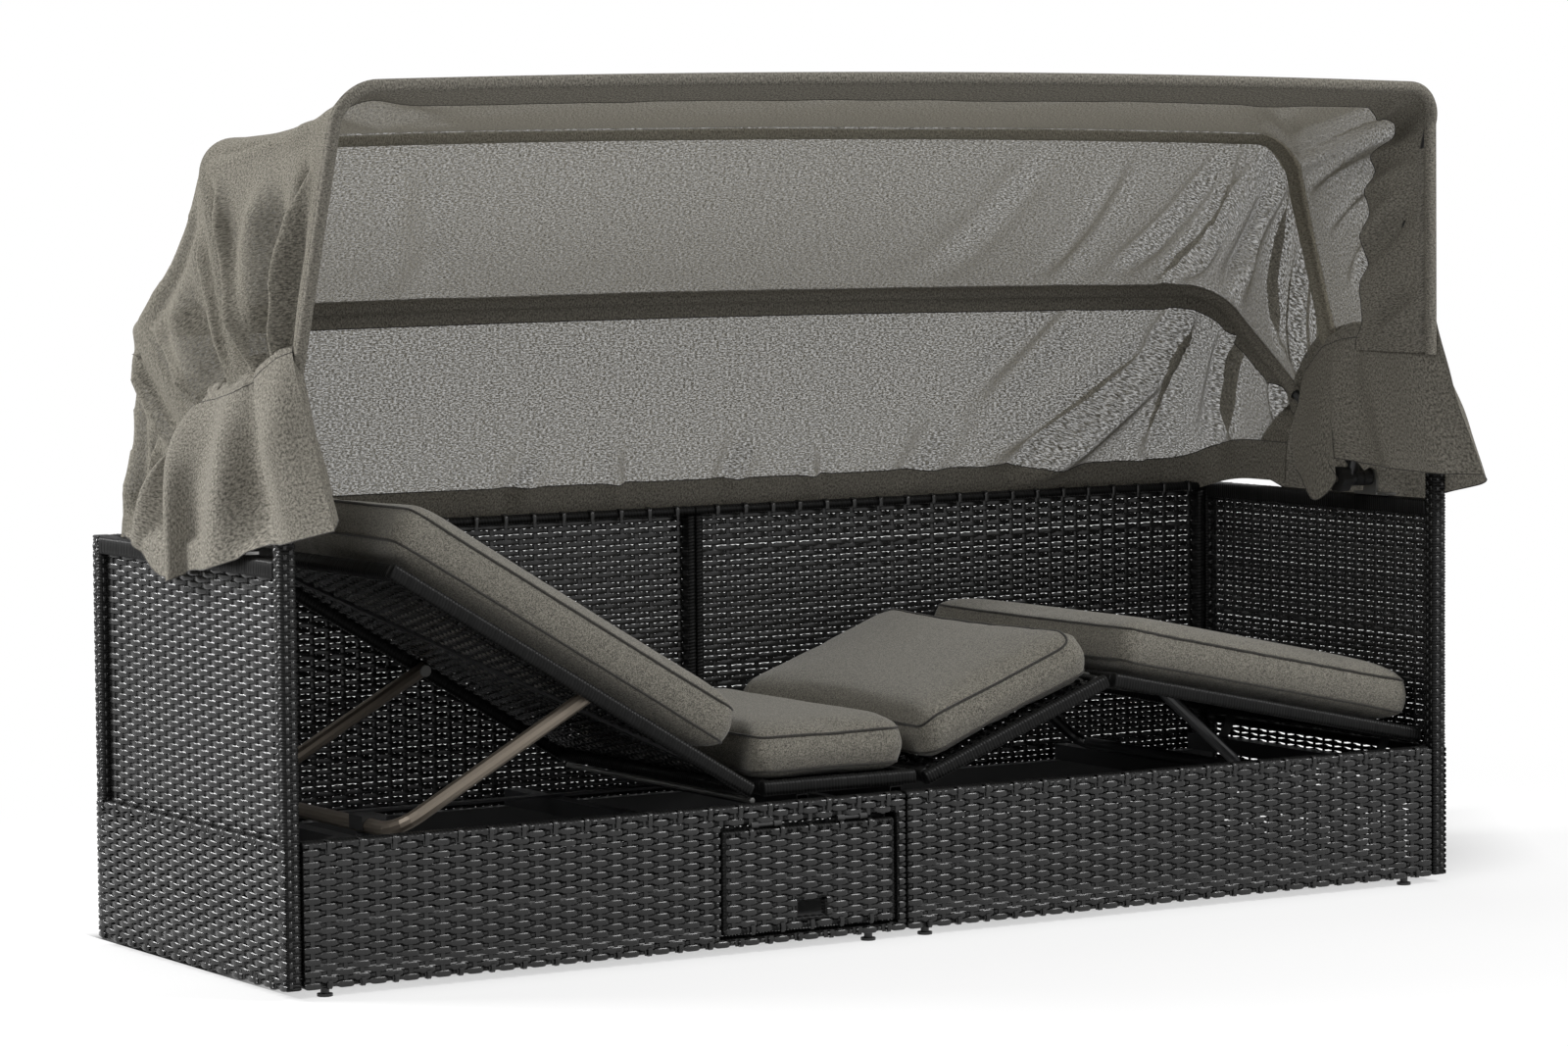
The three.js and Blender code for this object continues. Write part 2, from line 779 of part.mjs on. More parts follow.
// Cushion: a boxed pad with drawn-in sides and a crown above and below, in its deck's frame
function cushion(x0, x1, seamLift, slantLow, slantHigh) {
  const bottomSeam = deckThickness + seamLift;
  const topSeam = bottomSeam + cushionBand;
  const y0 = deckFront + cushionSideInset;
  const y1 = deckBack - cushionSideInset;
  const outline = [];
  const corners = [
    [x1 - cushionCorner, y0 + cushionCorner, -90],
    [x1 - cushionCorner, y1 - cushionCorner, 0],
    [x0 + cushionCorner, y1 - cushionCorner, 90],
    [x0 + cushionCorner, y0 + cushionCorner, 180],
  ];
  corners.forEach(([cx, cy, start], i) => {
    for (let k = 0; k <= cushionCornerSteps; k++) {
      const angle = rad(start + (90 * k) / cushionCornerSteps);
      outline.push([cx + cushionCorner * Math.cos(angle), cy + cushionCorner * Math.sin(angle)]);
    }
    const [nx, ny, next] = corners[(i + 1) % corners.length];
    const from = outline[outline.length - 1];
    const to = [
      nx + cushionCorner * Math.cos(rad(next)),
      ny + cushionCorner * Math.sin(rad(next)),
    ];
    for (let k = 1; k < cushionSideSteps; k++) {
      const t = k / cushionSideSteps;
      outline.push([from[0] + (to[0] - from[0]) * t, from[1] + (to[1] - from[1]) * t]);
    }
  });
  const mid = [half(x0 + x1), half(y0 + y1)];
  const reach = [half(x1 - x0), half(y1 - y0)];
  const full = deckThickness + seamLift + cushionBand + cushionCrown;
  const place = ([x, y], share, z) => {
    const px = mid[0] + (x - mid[0]) * share;
    const py = mid[1] + (y - mid[1]) * share;
    const toLow = Math.max(0, (mid[0] - px) / reach[0]);
    const toHigh = Math.max(0, (px - mid[0]) / reach[0]);
    const rise = (z - deckThickness) / (full - deckThickness);
    return new THREE.Vector3(px + slantLow * rise * toLow + slantHigh * rise * toHigh, py, z);
  };
  const dome = (share) => Math.cos((Math.PI / 2) * share ** 2) ** 0.6;
  const rings = [];
  const inset = 1 - cushionBulge / Math.min(...reach);
  for (let k = 1; k <= cushionRings; k++) {
    const share = (k / cushionRings) * inset;
    rings.push([share, bottomSeam - (seamLift - cushionSeatGap) * dome(k / cushionRings)]);
  }
  rings.push([1, half(bottomSeam + topSeam)]);
  for (let k = cushionRings; k >= 1; k--) {
    rings.push([(k / cushionRings) * inset, topSeam + cushionCrown * dome(k / cushionRings)]);
  }
  const count = outline.length;
  const points = [place(mid, 0, deckThickness + cushionSeatGap)];
  for (const [share, z] of rings) {
    for (const corner of outline) points.push(place(corner, share, z));
  }
  points.push(place(mid, 0, full));
  const index = [];
  for (let j = 0; j < count; j++) {
    const next = (j + 1) % count;
    index.push(0, 1 + next, 1 + j);
    for (let k = 0; k < rings.length - 1; k++) {
      const a = 1 + k * count;
      const b = a + count;
      index.push(a + j, a + next, b + next, a + j, b + next, b + j);
    }
    const last = 1 + (rings.length - 1) * count;
    index.push(points.length - 1, last + j, last + next);
  }
  const geometry = new THREE.BufferGeometry().setFromPoints(points);
  geometry.setIndex(index);
  return solid(geometry);
}

// Lounger sub-frame that slides along the cross tubes: racks, seat bars and the fixed seat deck
function seatCarriage(parent) {
  const seatLength = seatDeckTo - seatDeckFrom;
  const frame = new THREE.Group();
  frame.position.set(seatDeckFrom, 0, deckLevel);
  parent.add(frame);
  const hingeX = backrestPivotX - seatDeckFrom;
  const hingeZ = backrestPivotZ - deckLevel;
  const seat = join(
    deck(seatLength),
    ...deckLugs(hingeX, hingeZ, lugReach, lugRadius, lugPlace),
  ).subtract(drill(hingeX, hingeZ, deckFront, deckBack, rodRadius));
  put(frame, seat, "seat_deck", wicker);
  put(frame, cushion(-seatCushionOver, seatLength - seatCushionEndGap, seatSeamLift,
    seatCushionSlant, 0), "seat_cushion", cushionFinish);
  const low = crossTubeTop + touchGap;
  const rackTeeth = [
    { x: propFootX - rackToothPitch, rise: rackToothHead },
    { x: propFootX, rise: rackToothMiddle },
    { x: propFootX + rackToothPitch, rise: rackToothFoot },
  ];
  for (const [end, side] of [["front", -1], ["rear", 1]]) {
    const y = side * rackPlace;
    const bar = block([rackInset - endX, y - half(rackWidth), low], [
      seatDeckTo - touchGap,
      y + half(rackWidth),
      rackTop,
    ]);
    const teeth = rackTeeth.map(({ x, rise }) =>
      block([x - half(rackTooth), y - half(rackWidth), low], [
        x + half(rackTooth),
        y + half(rackWidth),
        rackTop + rise,
      ]),
    );
    put(parent, join(bar, ...teeth), `prop_rack_${end}`, darkTube);
  }
  const barEnd = deckBack - seatBarInset;
  const bars = { head: seatDeckFrom + seatBarFromHead, foot: seatDeckTo - seatBarFromFoot };
  for (const [place, x] of Object.entries(bars)) {
    put(parent, boxTube("y", -barEnd, barEnd, x, seatBarWidth, rackTop + touchGap,
      deckLevel - touchGap), `seat_bar_${place}`, darkTube);
  }
  put(parent, rod("y", -rodEnd, rodEnd, rodRadius, backrestPivotX, backrestPivotZ),
    "backrest_hinge_rod", steel);
}

// A deck's frame: it starts on a hinge line along Y, runs towards the head end and rises by an angle
function tilted(parent, x, z, angle) {
  const hinge = new THREE.Group();
  hinge.position.set(x, 0, z);
  hinge.rotation.y = rad(angle);
  const towardsHead = new THREE.Group();
  towardsHead.rotation.z = Math.PI;
  hinge.add(towardsHead);
  parent.add(hinge);
  return towardsHead;
}

// Backrest deck and cushion, turned about the hinge rod
function backrest(parent) {
  const body = new THREE.Group();
  body.position.set(backrestStart, 0, -backrestDrop);
  tilted(parent, backrestPivotX, backrestPivotZ, backrestAngle).add(body);
  const hingeX = -backrestStart;
  const propX = propPivotAlong - backrestStart;
  const propZ = propPivotLift + backrestDrop;
  const lugs = deckLugs(hingeX, backrestDrop, lugReach, lugRadius, lugPlace + lugSpacing);
  const holes = lugSides.map((side) => {
    const from = side > 0 ? deckInner - cutOver : -deckInner - boltIntoBorder;
    const to = side > 0 ? deckInner + boltIntoBorder : -deckInner + cutOver;
    return rod("y", from, to, rodRadius + runningGap, propX, propZ);
  });
  const board = join(deck(backrestLength), ...lugs)
    .subtract(drill(hingeX, backrestDrop, deckFront - cutOver, deckBack + cutOver, rodRadius));
  put(body, cut(board, ...holes), "backrest_deck", wicker);
  const cushionEnd = backrestLength + backrestCushionOver;
  put(body, cushion(backrestCushionFrom - backrestStart, cushionEnd - backrestStart,
    backrestSeamLift, backrestCushionSlant, 0), "backrest_cushion", cushionFinish);
  put(body, diagonalBrace(), "backrest_brace", darkTube);
  for (const side of lugSides) {
    const legInner = deckInner - propGap - 2 * propRadius;
    const tip = side * (deckInner + boltIntoBorder - touchGap);
    const head = side * (legInner - touchGap - boltHeadThickness);
    const under = side * (legInner - touchGap);
    const bolt = join(
      rod("y", Math.min(head, tip), Math.max(head, tip), rodRadius, propX, propZ),
      rod("y", Math.min(head, under), Math.max(head, under), boltHead, propX, propZ,
        boltHeadSides),
    );
    put(body, bolt, side > 0 ? "prop_bolt_front" : "prop_bolt_rear", steel);
  }
}

// A flat bar from one corner of the backrest's frame to the other, trimmed to the border tubes
function diagonalBrace() {
  const [x0, y0] = [backrestLength - braceTopInset, deckFront + braceSideInset];
  const [x1, y1] = [braceLowInset, deckBack - braceSideInset];
  const geometry = new THREE.BoxGeometry(
    Math.hypot(x1 - x0, y1 - y0),
    braceWidth,
    braceHigh - braceLow,
  );
  geometry.rotateZ(Math.atan2(y1 - y0, x1 - x0));
  geometry.translate(half(x0 + x1) - backrestStart, half(y0 + y1), half(braceLow + braceHigh));
  const inside = block(
    [deckBorder + touchGap, deckFront + deckBorder + touchGap, 0],
    [backrestLength - deckBorder - touchGap, deckBack - deckBorder - touchGap, deckThickness],
  );
  return solid(geometry).intersect(inside);
}

// U-shaped prop: two legs and a foot bar bent from one tube
function bentProp(headX, headZ, footX, footZ, legY, radius, bend, endReach) {
  const along = new THREE.Vector3(footX - headX, 0, footZ - headZ).normalize();
  const top = (y) =>
    new THREE.Vector3(headX, y, headZ).addScaledVector(along, -endReach);
  const foot = (y) => new THREE.Vector3(footX, y, footZ);
  const body = tube([top(-legY), foot(-legY), foot(legY), top(legY)], radius, bend);
  return body.subtract(
    rod("y", -legY - 2 * radius, legY + 2 * radius, rodRadius + runningGap, headX, headZ),
  );
}

const deckInner = half(deckBack - deckFront) - deckBorder;
const alongDeck = (x, z, angle, s, n) => [
  x - s * Math.cos(rad(angle)) + n * Math.sin(rad(angle)),
  z + s * Math.sin(rad(angle)) + n * Math.cos(rad(angle)),
];
const propPivotAlong = propPivotShare * backrestLength;
const propLength = propLengthShare * backrestLength;
const propFootZ = rackTop + rackToothMiddle + touchGap + propRadius;
const [propPivotX, propPivotZ] = alongDeck(
  backrestPivotX, backrestPivotZ, backrestAngle, propPivotAlong, propPivotLift);
const propFootX =
  propPivotX - Math.sqrt(propLength ** 2 - (propPivotZ - propFootZ) ** 2);

// The backrest's prop has a catch clip on its foot bar
function backrestProp(parent) {
  const legY = deckInner - propGap - propRadius;
  put(parent, bentProp(propPivotX, propPivotZ, propFootX, propFootZ, legY, propRadius, propBend,
    propEndReach), "backrest_prop", propTube);
  const y0 = -rackPlace - half(clipWidth);
  const y1 = -rackPlace + half(clipWidth);
  const edge = propFootX + propRadius + clipWall;
  const top = propFootZ + propRadius + clipWall;
  const saddle = cut(
    block(
      [propFootX - propRadius - half(clipWall), y0, propFootZ - half(propRadius)],
      [edge, y1, top],
    ),
    rod("y", y0 - cutOver, y1 + cutOver, propRadius + touchGap, propFootX, propFootZ),
  );
  const lip = block(
    [edge - touchGap, y0, propFootZ + half(propRadius)],
    [propFootX + propRadius + clipLip, y1, top],
  );
  put(parent, saddle.add(lip), "prop_catch_clip", plastic);
}

// Leg part: hinged at the foot end and held up at the knee
const kneeAlong = legLength - legOverhang + kneeHalfGap;
const kneeLiftAboveFoot = kneePivotLift - footPivotLift;
const [kneeX, kneeZ] = alongDeck(footPivotX, footPivotZ, legAngle, kneeAlong, kneeLiftAboveFoot);
const kneePropAlong = kneePropShare * legLength;
const [kneePropX, kneePropZ] = alongDeck(
  footPivotX, footPivotZ, legAngle, kneePropAlong, kneePropLift);
const kneePropFootZ = crossTubeTop + touchGap + kneePropRadius;
const kneePropFootX = kneePropX + (kneePropZ - kneePropFootZ) / Math.tan(rad(kneePropAngle));

function legPart(parent) {
  const body = new THREE.Group();
  body.position.set(-legOverhang, 0, -footPivotLift);
  tilted(parent, footPivotX, footPivotZ, legAngle).add(body);
  const pinX = legOverhang;
  const kneeLocal = kneeAlong + legOverhang;
  const propX = kneePropAlong + legOverhang;
  const propZ = kneePropLift + footPivotLift;
  const notchHalf = half(lugThickness) + earNotch;
  const notchEnd = pinX + lugRadius + earNotch + half(crossTubeWidth);
  const notches = lugSides.map((side) =>
    block(
      [-cutOver, side * lugPlace - notchHalf, -cutOver],
      [notchEnd, side * lugPlace + notchHalf, footPivotLift + lugRadius + earNotch],
    ),
  );
  const lugs = deckLugs(kneeLocal, kneePivotLift, kneeLocal - lugReach, kneeLugRadius, lugPlace);
  const propRodSocket = deckInner + boltIntoBorder;
  const board = cut(
    join(deck(legLength), ...lugs),
    ...notches,
    drill(pinX, footPivotLift, -rodEnd - touchGap, rodEnd + touchGap, rodRadius),
    drill(kneeLocal, kneePivotLift, -lugPlace - lugRadius, lugPlace + lugRadius, rodRadius),
    drill(propX, propZ, -propRodSocket, propRodSocket, rodRadius),
  );
  put(body, board, "leg_deck", wicker);
  put(body, cushion(footCushionInset, legLength - cushionEndInset, legSeamLift, footCushionSlant, 0),
    "leg_cushion", cushionFinish);
  const kneeRodEnd = lugPlace + lugSpacing + lugRadius;
  put(body, rod("y", -kneeRodEnd, kneeRodEnd, rodRadius, kneeLocal, kneePivotLift), "knee_hinge_rod",
    steel);
  const propRodEnd = propRodSocket - touchGap;
  put(body, rod("y", -propRodEnd, propRodEnd, rodRadius, propX, propZ), "knee_prop_rod", steel);
}

function kneeProp(parent) {
  const legY = deckInner - kneePropGap - kneePropRadius;
  put(parent, bentProp(kneePropX, kneePropZ, kneePropFootX, kneePropFootZ, legY, kneePropRadius,
    kneePropBend, kneePropEndReach), "knee_prop", darkTube);
}

// Thigh part: hangs from the knee rod and rests its lower end beside the seat
function thighPart(parent) {
  const body = new THREE.Group();
  body.position.set(kneeHalfGap, 0, -kneePivotLift);
  tilted(parent, kneeX, kneeZ, -thighAngle).add(body);
  const pinX = -kneeHalfGap;
  const lugs = deckLugs(pinX, kneePivotLift, lugReach, kneeLugRadius, lugPlace + lugSpacing);
  const board = cut(
    join(deck(thighLength), ...lugs),
    drill(pinX, kneePivotLift, deckFront - cutOver, deckBack + cutOver, rodRadius),
  );
  put(body, board, "thigh_deck", wicker);
  put(body, cushion(cushionEndInset, thighLength - cushionEndInset, thighSeamLift, 0,
    -thighCushionSlant), "thigh_cushion", cushionFinish);
}

// Canopy hoops: U-shaped tubes with an eye at each foot, all on one pivot line
const pivotEnd = hoopFirst + 2 * hoopPitch;

function hoopFrame(angle) {
  const frame = new THREE.Group();
  frame.position.set(0, pivotY, pivotZ);
  frame.rotation.x = rad(90 - angle);
  return frame;
}

function hoop(legX, reach) {
  const bow = (x) => hoopBow * (1 - (x / legX) ** 2);
  const corners = [new THREE.Vector3(-legX, 0, eyeRadius - hoopRadius)];
  corners.push(new THREE.Vector3(-legX, 0, reach - hoopBow));
  for (const share of [-half(1), 0, half(1)]) {
    corners.push(new THREE.Vector3(share * legX, 0, reach - hoopBow + bow(share * legX)));
  }
  corners.push(new THREE.Vector3(legX, 0, reach - hoopBow));
  corners.push(new THREE.Vector3(legX, 0, eyeRadius - hoopRadius));
  let body = tube(corners, hoopRadius, hoopBend);
  for (const side of lugSides) {
    const x = side * legX;
    body = body.add(rod("x", x - hoopRadius, x + hoopRadius, eyeRadius, 0, 0));
    body = body.subtract(
      rod("x", x - 2 * hoopRadius, x + 2 * hoopRadius, pivotBoltRadius + runningGap, 0, 0),
    );
  }
  return body;
}

const hoops = {
  front: { legX: hoopFirst, reach: frontHoopReach, angle: frontHoopAngle },
  middle: { legX: hoopFirst + hoopPitch, reach: middleHoopReach, angle: middleHoopAngle },
  rear: { legX: pivotEnd, reach: rearHoopReach, angle: rearHoopAngle },
};

function canopyBracket(side) {
  const span = (a, b) => [Math.min(side * a, side * b), Math.max(side * a, side * b)];
  const earFrom = endX - bracketEarInset;
  const foot = armHeight + touchGap;
  const [baseX0, baseX1] = span(endX - postWidth + touchGap, endX - half(half(postWidth)));
  const base = block(
    [baseX0, pivotY - half(bracketLength), foot],
    [baseX1, pivotY + half(bracketLength), foot + bracketPlate],
  );
  const ear = new THREE.Shape();
  ear.moveTo(pivotY - half(bracketEarWidth), foot);
  ear.lineTo(pivotY + half(bracketEarWidth), foot);
  ear.absarc(pivotY, pivotZ, bracketRound, 0, Math.PI);
  const bolt = rod("x", ...span(hoopFirst - hoopRadius - knobLength, earFrom), pivotBoltRadius,
    pivotY, pivotZ);
  return join(base, plateYZ(ear, ...span(earFrom, earFrom + bracketEar)), bolt);
}

function canopyKnob(side) {
  const outer = side * (hoopFirst - hoopRadius - touchGap);
  const inner = side * (hoopFirst - hoopRadius - knobLength);
  const from = Math.min(outer, inner);
  const to = Math.max(outer, inner);
  const shape = new THREE.Shape();
  const steps = knobFlutes * knobFluteSides;
  for (let k = 0; k < steps; k++) {
    const angle = (2 * Math.PI * k) / steps;
    const r = knobRadius - knobFluteDepth * half(1 - Math.cos(knobFlutes * angle));
    const point = [pivotY + r * Math.cos(angle), pivotZ + r * Math.sin(angle)];
    if (k) shape.lineTo(...point);
    else shape.moveTo(...point);
  }
  return plateYZ(shape, from, to).subtract(
    rod("x", from - cutOver, to + cutOver, pivotBoltRadius + touchGap, pivotY, pivotZ),
  );
}

// Cloth over the hoops. A point on a hoop is given by a share of its run from one foot to the other
function hoopRun({ legX, reach, angle }, offset) {
  const out = hoopRadius + clothGap + offset;
  const line = [];
  const top = reach - hoopBow;
  const legTop = top - hoopBend;
  const direction = new THREE.Vector3(0, -Math.cos(rad(angle)), Math.sin(rad(angle)));
  const add = (x, r, nx, nr) => {
    const core = new THREE.Vector3(x, pivotY, pivotZ).addScaledVector(direction, r);
    const point = core.clone();
    point.x += nx * out;
    line.push({ core, point, nx, nr, up: out * nr });
  };
  const legStops = 4;
  const topStops = 12;
  const cornerStops = 4;
  for (let k = 0; k < legStops; k++) {
    add(-legX, clothWaist + ((legTop - clothWaist) * k) / legStops, -1, 0);
  }
  const corner = (k, side) => {
    const a = (Math.PI / 2) * (k / cornerStops);
    const spread = k % cornerStops ? 1 / Math.cos(Math.PI / (4 * cornerStops)) - 1 : 0;
    const bend = hoopBend + (hoopBend + out) * spread;
    const x = legX - hoopBend + bend * Math.cos(a);
    const rise = hoopBow * (1 - (x / legX) ** 2);
    add(side * x, legTop + bend * Math.sin(a) + Math.max(0, rise), side * Math.cos(a), Math.sin(a));
  };
  for (let k = 0; k <= cornerStops; k++) corner(k, -1);
  for (let k = 1; k < topStops; k++) {
    const x = (legX - hoopBend) * ((2 * k) / topStops - 1);
    add(x, top + hoopBow * (1 - (x / legX) ** 2), 0, 1);
  }
  for (let k = cornerStops; k >= 0; k--) corner(k, 1);
  for (let k = legStops - 1; k >= 0; k--) {
    add(legX, clothWaist + ((legTop - clothWaist) * k) / legStops, 1, 0);
  }
  return { line, direction };
}

// The rear hem: level along the sides, low behind the back panels
function hemRun(offset) {
  const hemBack = backY + hemBackOut;
  const { line } = hoopRun({ legX: pivotEnd, reach: hemBack - pivotY, angle: 180 }, offset);
  return line.map(({ point, nx, nr }) => {
    const behind = nr > 0.99;
    const p = point.clone();
    p.y = behind ? hemBack + offset : Math.min(p.y, hemBack + offset);
    p.z = armHeight + (behind ? -hemBackDrop : hemSideLift);
    return { point: p, nx, nr, up: 0 };
  });
}

function clothBetween(from, to, wrapFront) {
  const grids = [clothThickness, 0].map((offset) => {
    const a = hoopRun(from, offset);
    const b = to ? hoopRun(to, offset) : { line: hemRun(offset), direction: null };
    return a.line.map((start, i) => {
      const end = b.line[i];
      const s = start.point;
      const e = end.point;
      const chord = e.clone().sub(s).setX(0);
      const normal = new THREE.Vector3(0, -chord.z, chord.y).normalize();
      if (normal.dot(a.direction) < 0) normal.negate();
      const row = [];
      const lean = normal.dot(a.direction);
      const first = s.clone().addScaledVector(a.direction, start.up / lean);
      const last = e.clone();
      if (b.direction) last.addScaledVector(b.direction, end.up / normal.dot(b.direction));
      const along = chord.clone().normalize();
      if (wrapFront) {
        for (const reach of [-hoopRadius, hoopRadius + clothGap + offset]) {
          const point = start.core.clone().addScaledVector(along, -clothFrontWrap - offset);
          point.x += start.nx * reach;
          row.push(point.addScaledVector(a.direction, start.nr * reach));
        }
      }
      const seam = wrapFront ? 0 : clothSeam;
      row.push(first.clone().addScaledVector(along, seam));
      for (let k = 1; k < clothSteps; k++) {
        const t = k / clothSteps;
        const point = s.clone().lerp(e, t);
        point.addScaledVector(normal, start.up * (1 - t) + end.up * t);
        const sag = clothSag * Math.sin(Math.PI * t) ** 2;
        point.addScaledVector(normal, -sag * start.nr);
        point.x -= Math.sign(start.nx) * sag * Math.abs(start.nx);
        const fold = foldDepth * Math.sin(Math.PI * t) * Math.sin(foldCount * Math.PI * t);
        point.x += start.nx * fold;
        row.push(point);
      }
      row.push(to ? last.addScaledVector(along, -clothSeam) : last);
      return row;
    });
  });
  return sheet(grids[0], grids[1]);
}

// Side skirt: gathered at the waist beside the hoops and flaring over the arm in flutes
function hemPoint(t) {
  const mix = (from, to) => from + (to - from) * t;
  const around = Math.sin(Math.PI * t);
  return new THREE.Vector3(
    endX + mix(-skirtHemInset, skirtHemOut) + skirtHemBulge * around ** hemBulgePowerShare,
    pivotY + mix(-skirtHemFront, skirtHemRear),
    armHeight + mix(skirtHemFrontLift, skirtHemRearLift)
      - skirtHemDip * Math.sin(Math.PI * t ** hemDipPowerShare),
  );
}

// The waist lies on the outside of the cloth, which steps outwards from hoop to hoop
function skirtWaistX(degrees) {
  const steps = (degrees - frontHoopAngle) / (rearHoopAngle - frontHoopAngle);
  const legX = hoopFirst + 2 * hoopPitch * THREE.MathUtils.clamp(steps, 0, 1);
  return legX + hoopRadius + clothGap + clothThickness + skirtStandOff;
}

function skirt(side) {
  const grids = [skirtThickness, 0].map((offset) => {
    const rows = [];
    for (let i = 0; i <= skirtAround; i++) {
      const t = i / skirtAround;
      const degrees = skirtWaistFront + (skirtWaistRear - skirtWaistFront) * t;
      const angle = rad(degrees);
      const waist = new THREE.Vector3(
        skirtWaistX(degrees),
        pivotY - clothWaist * Math.cos(angle),
        pivotZ + clothWaist * Math.sin(angle),
      );
      const hem = hemPoint(t);
      const row = [];
      for (let k = 0; k <= skirtSteps; k++) {
        const f = k / skirtSteps;
        const point = waist.clone().lerp(hem, f);
        point.x = waist.x + (hem.x - waist.x) * Math.sin((Math.PI / 2) * f);
        point.x += skirtFlute * f * Math.sin(skirtFluteCount * 2 * Math.PI * t) + offset;
        point.x *= side;
        row.push(point);
      }
      rows.push(row);
    }
    return rows;
  });
  return sheet(grids[0], grids[1]);
}

function canopy(parent) {
  for (const [name, hoopSize] of Object.entries(hoops)) {
    const frame = hoopFrame(hoopSize.angle);
    parent.add(frame);
    put(frame, hoop(hoopSize.legX, hoopSize.reach), `${name}_hoop`, darkTube);
  }
  put(parent, clothBetween(hoops.front, hoops.middle, true), "canopy_cloth_front", clothFinish);
  put(parent, clothBetween(hoops.middle, hoops.rear, false), "canopy_cloth_top", clothFinish);
  put(parent, clothBetween(hoops.rear, null, false), "canopy_cloth_back", clothFinish);
  for (const [name, side] of [["left", -1], ["right", 1]]) {
    put(parent, skirt(side), `canopy_skirt_${name}`, clothFinish);
    put(parent, canopyBracket(side), `canopy_bracket_${name}`, steel);
    put(parent, canopyKnob(side), `canopy_knob_${name}`, plastic);
  }
}

// The whole assembly
put(model, endPanel(-1), "end_panel_left", wicker);
put(model, endPanel(1), "end_panel_right", wicker);
boxPanels(model);
baseFrame(model);
const glidePlaces = {
  left_outer: glideLeftInset - endX,
  left_inner: -glideInnerLeft,
  right_inner: glideInnerRight,
  right_outer: endX - glideRightInset,
};
for (const [place, x] of Object.entries(glidePlaces)) {
  put(model, glide(x, frontY + glideInset), `glide_front_${place}`, plastic);
  put(model, glide(x, backY - glideInset), `glide_rear_${place}`, plastic);
}
put(model, storageFlap(), "storage_flap", wicker);
flapPinPlaces().forEach((x, i) => {
  put(model, flapHinge(x), i ? "flap_hinge_right" : "flap_hinge_left", plastic);
});
put(model, rod("y", -rodEnd, rodEnd, rodRadius, footPivotX, footPivotZ), "foot_hinge_rod", steel);
seatCarriage(model);
backrest(model);
backrestProp(model);
legPart(model);
kneeProp(model);
thighPart(model);
canopy(model);

// The origin lies on the floor under the middle of the whole outline
model.updateMatrixWorld(true);
const outline = new THREE.Box3().setFromObject(model, true);
const middle = outline.getCenter(new THREE.Vector3());
model.position.set(-middle.x, -middle.y, -outline.min.z);

export default model;
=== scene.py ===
import math

import bpy
import numpy as np
from mathutils import Matrix, Vector
from mathutils.bvhtree import BVHTree


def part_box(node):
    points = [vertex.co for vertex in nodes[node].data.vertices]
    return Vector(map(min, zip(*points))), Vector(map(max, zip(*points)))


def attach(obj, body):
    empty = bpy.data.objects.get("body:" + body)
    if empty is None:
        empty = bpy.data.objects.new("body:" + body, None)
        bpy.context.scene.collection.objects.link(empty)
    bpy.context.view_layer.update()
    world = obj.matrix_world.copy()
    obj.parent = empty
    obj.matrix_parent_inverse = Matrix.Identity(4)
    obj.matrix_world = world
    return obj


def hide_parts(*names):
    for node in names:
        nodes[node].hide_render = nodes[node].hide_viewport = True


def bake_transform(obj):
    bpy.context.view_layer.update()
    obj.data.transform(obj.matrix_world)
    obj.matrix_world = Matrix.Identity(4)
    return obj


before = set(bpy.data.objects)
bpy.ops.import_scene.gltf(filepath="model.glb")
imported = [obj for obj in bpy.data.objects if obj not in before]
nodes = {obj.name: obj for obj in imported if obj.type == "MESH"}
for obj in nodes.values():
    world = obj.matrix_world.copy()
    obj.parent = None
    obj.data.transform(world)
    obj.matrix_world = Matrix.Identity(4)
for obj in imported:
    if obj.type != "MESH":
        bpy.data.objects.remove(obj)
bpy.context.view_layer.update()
rng = np.random.default_rng(11)

# Weave
WARP_PITCH = 0.025
WEFT_PITCH = 0.00815
WEFT_WIDTH = 0.0090
WARP_WIDTH = 0.0068
WEAVE_DEPTH = 0.0023
STRAND_RISE = 0.0013
RIDGE_PITCH = 0.0052
RIDGE_RISE = 0.0016
# The woven face's own place behind the outside of its panel, and the length of a mat tucked under its border
FACE_IN = 0.0022
MAT_TUCK = 0.004
# Slits in the open weave: how far from a warp they lie, and how long they are
SLIT_PLACE = 0.0068
SLIT_SPREAD = 0.0026
SLIT_DROP = 0.0012
# How sharply a stiff strand turns beside a warp, how narrow it gets under one, and how uneven the rows lie
TURN = 3.0
NARROWEST = 0.66
ROW_JITTER = 0.00022
WARP_GIVE = 0.00035
RIM = 0.014
LOOP_PITCH = 2 * WARP_PITCH

# Lounger decks
DECK_BORDER = 0.020
DECK_THICKNESS = 0.025
DECK_Y = (-0.228, 0.327)

# Canopy
CLOTH_OUT = 0.0096
WAIST = 0.215
HOOP_BEND = 0.055
HOOP_BOW = 0.014
TUBE = 0.007
BAND_RADIUS = TUBE + 0.0024
BAND_START = 0.010


X, Y, Z = np.array([1.0, 0, 0]), np.array([0, 1.0, 0]), np.array([0, 0, 1.0])


def unit(v):
    v = np.asarray(v, float)
    return v / np.linalg.norm(v)


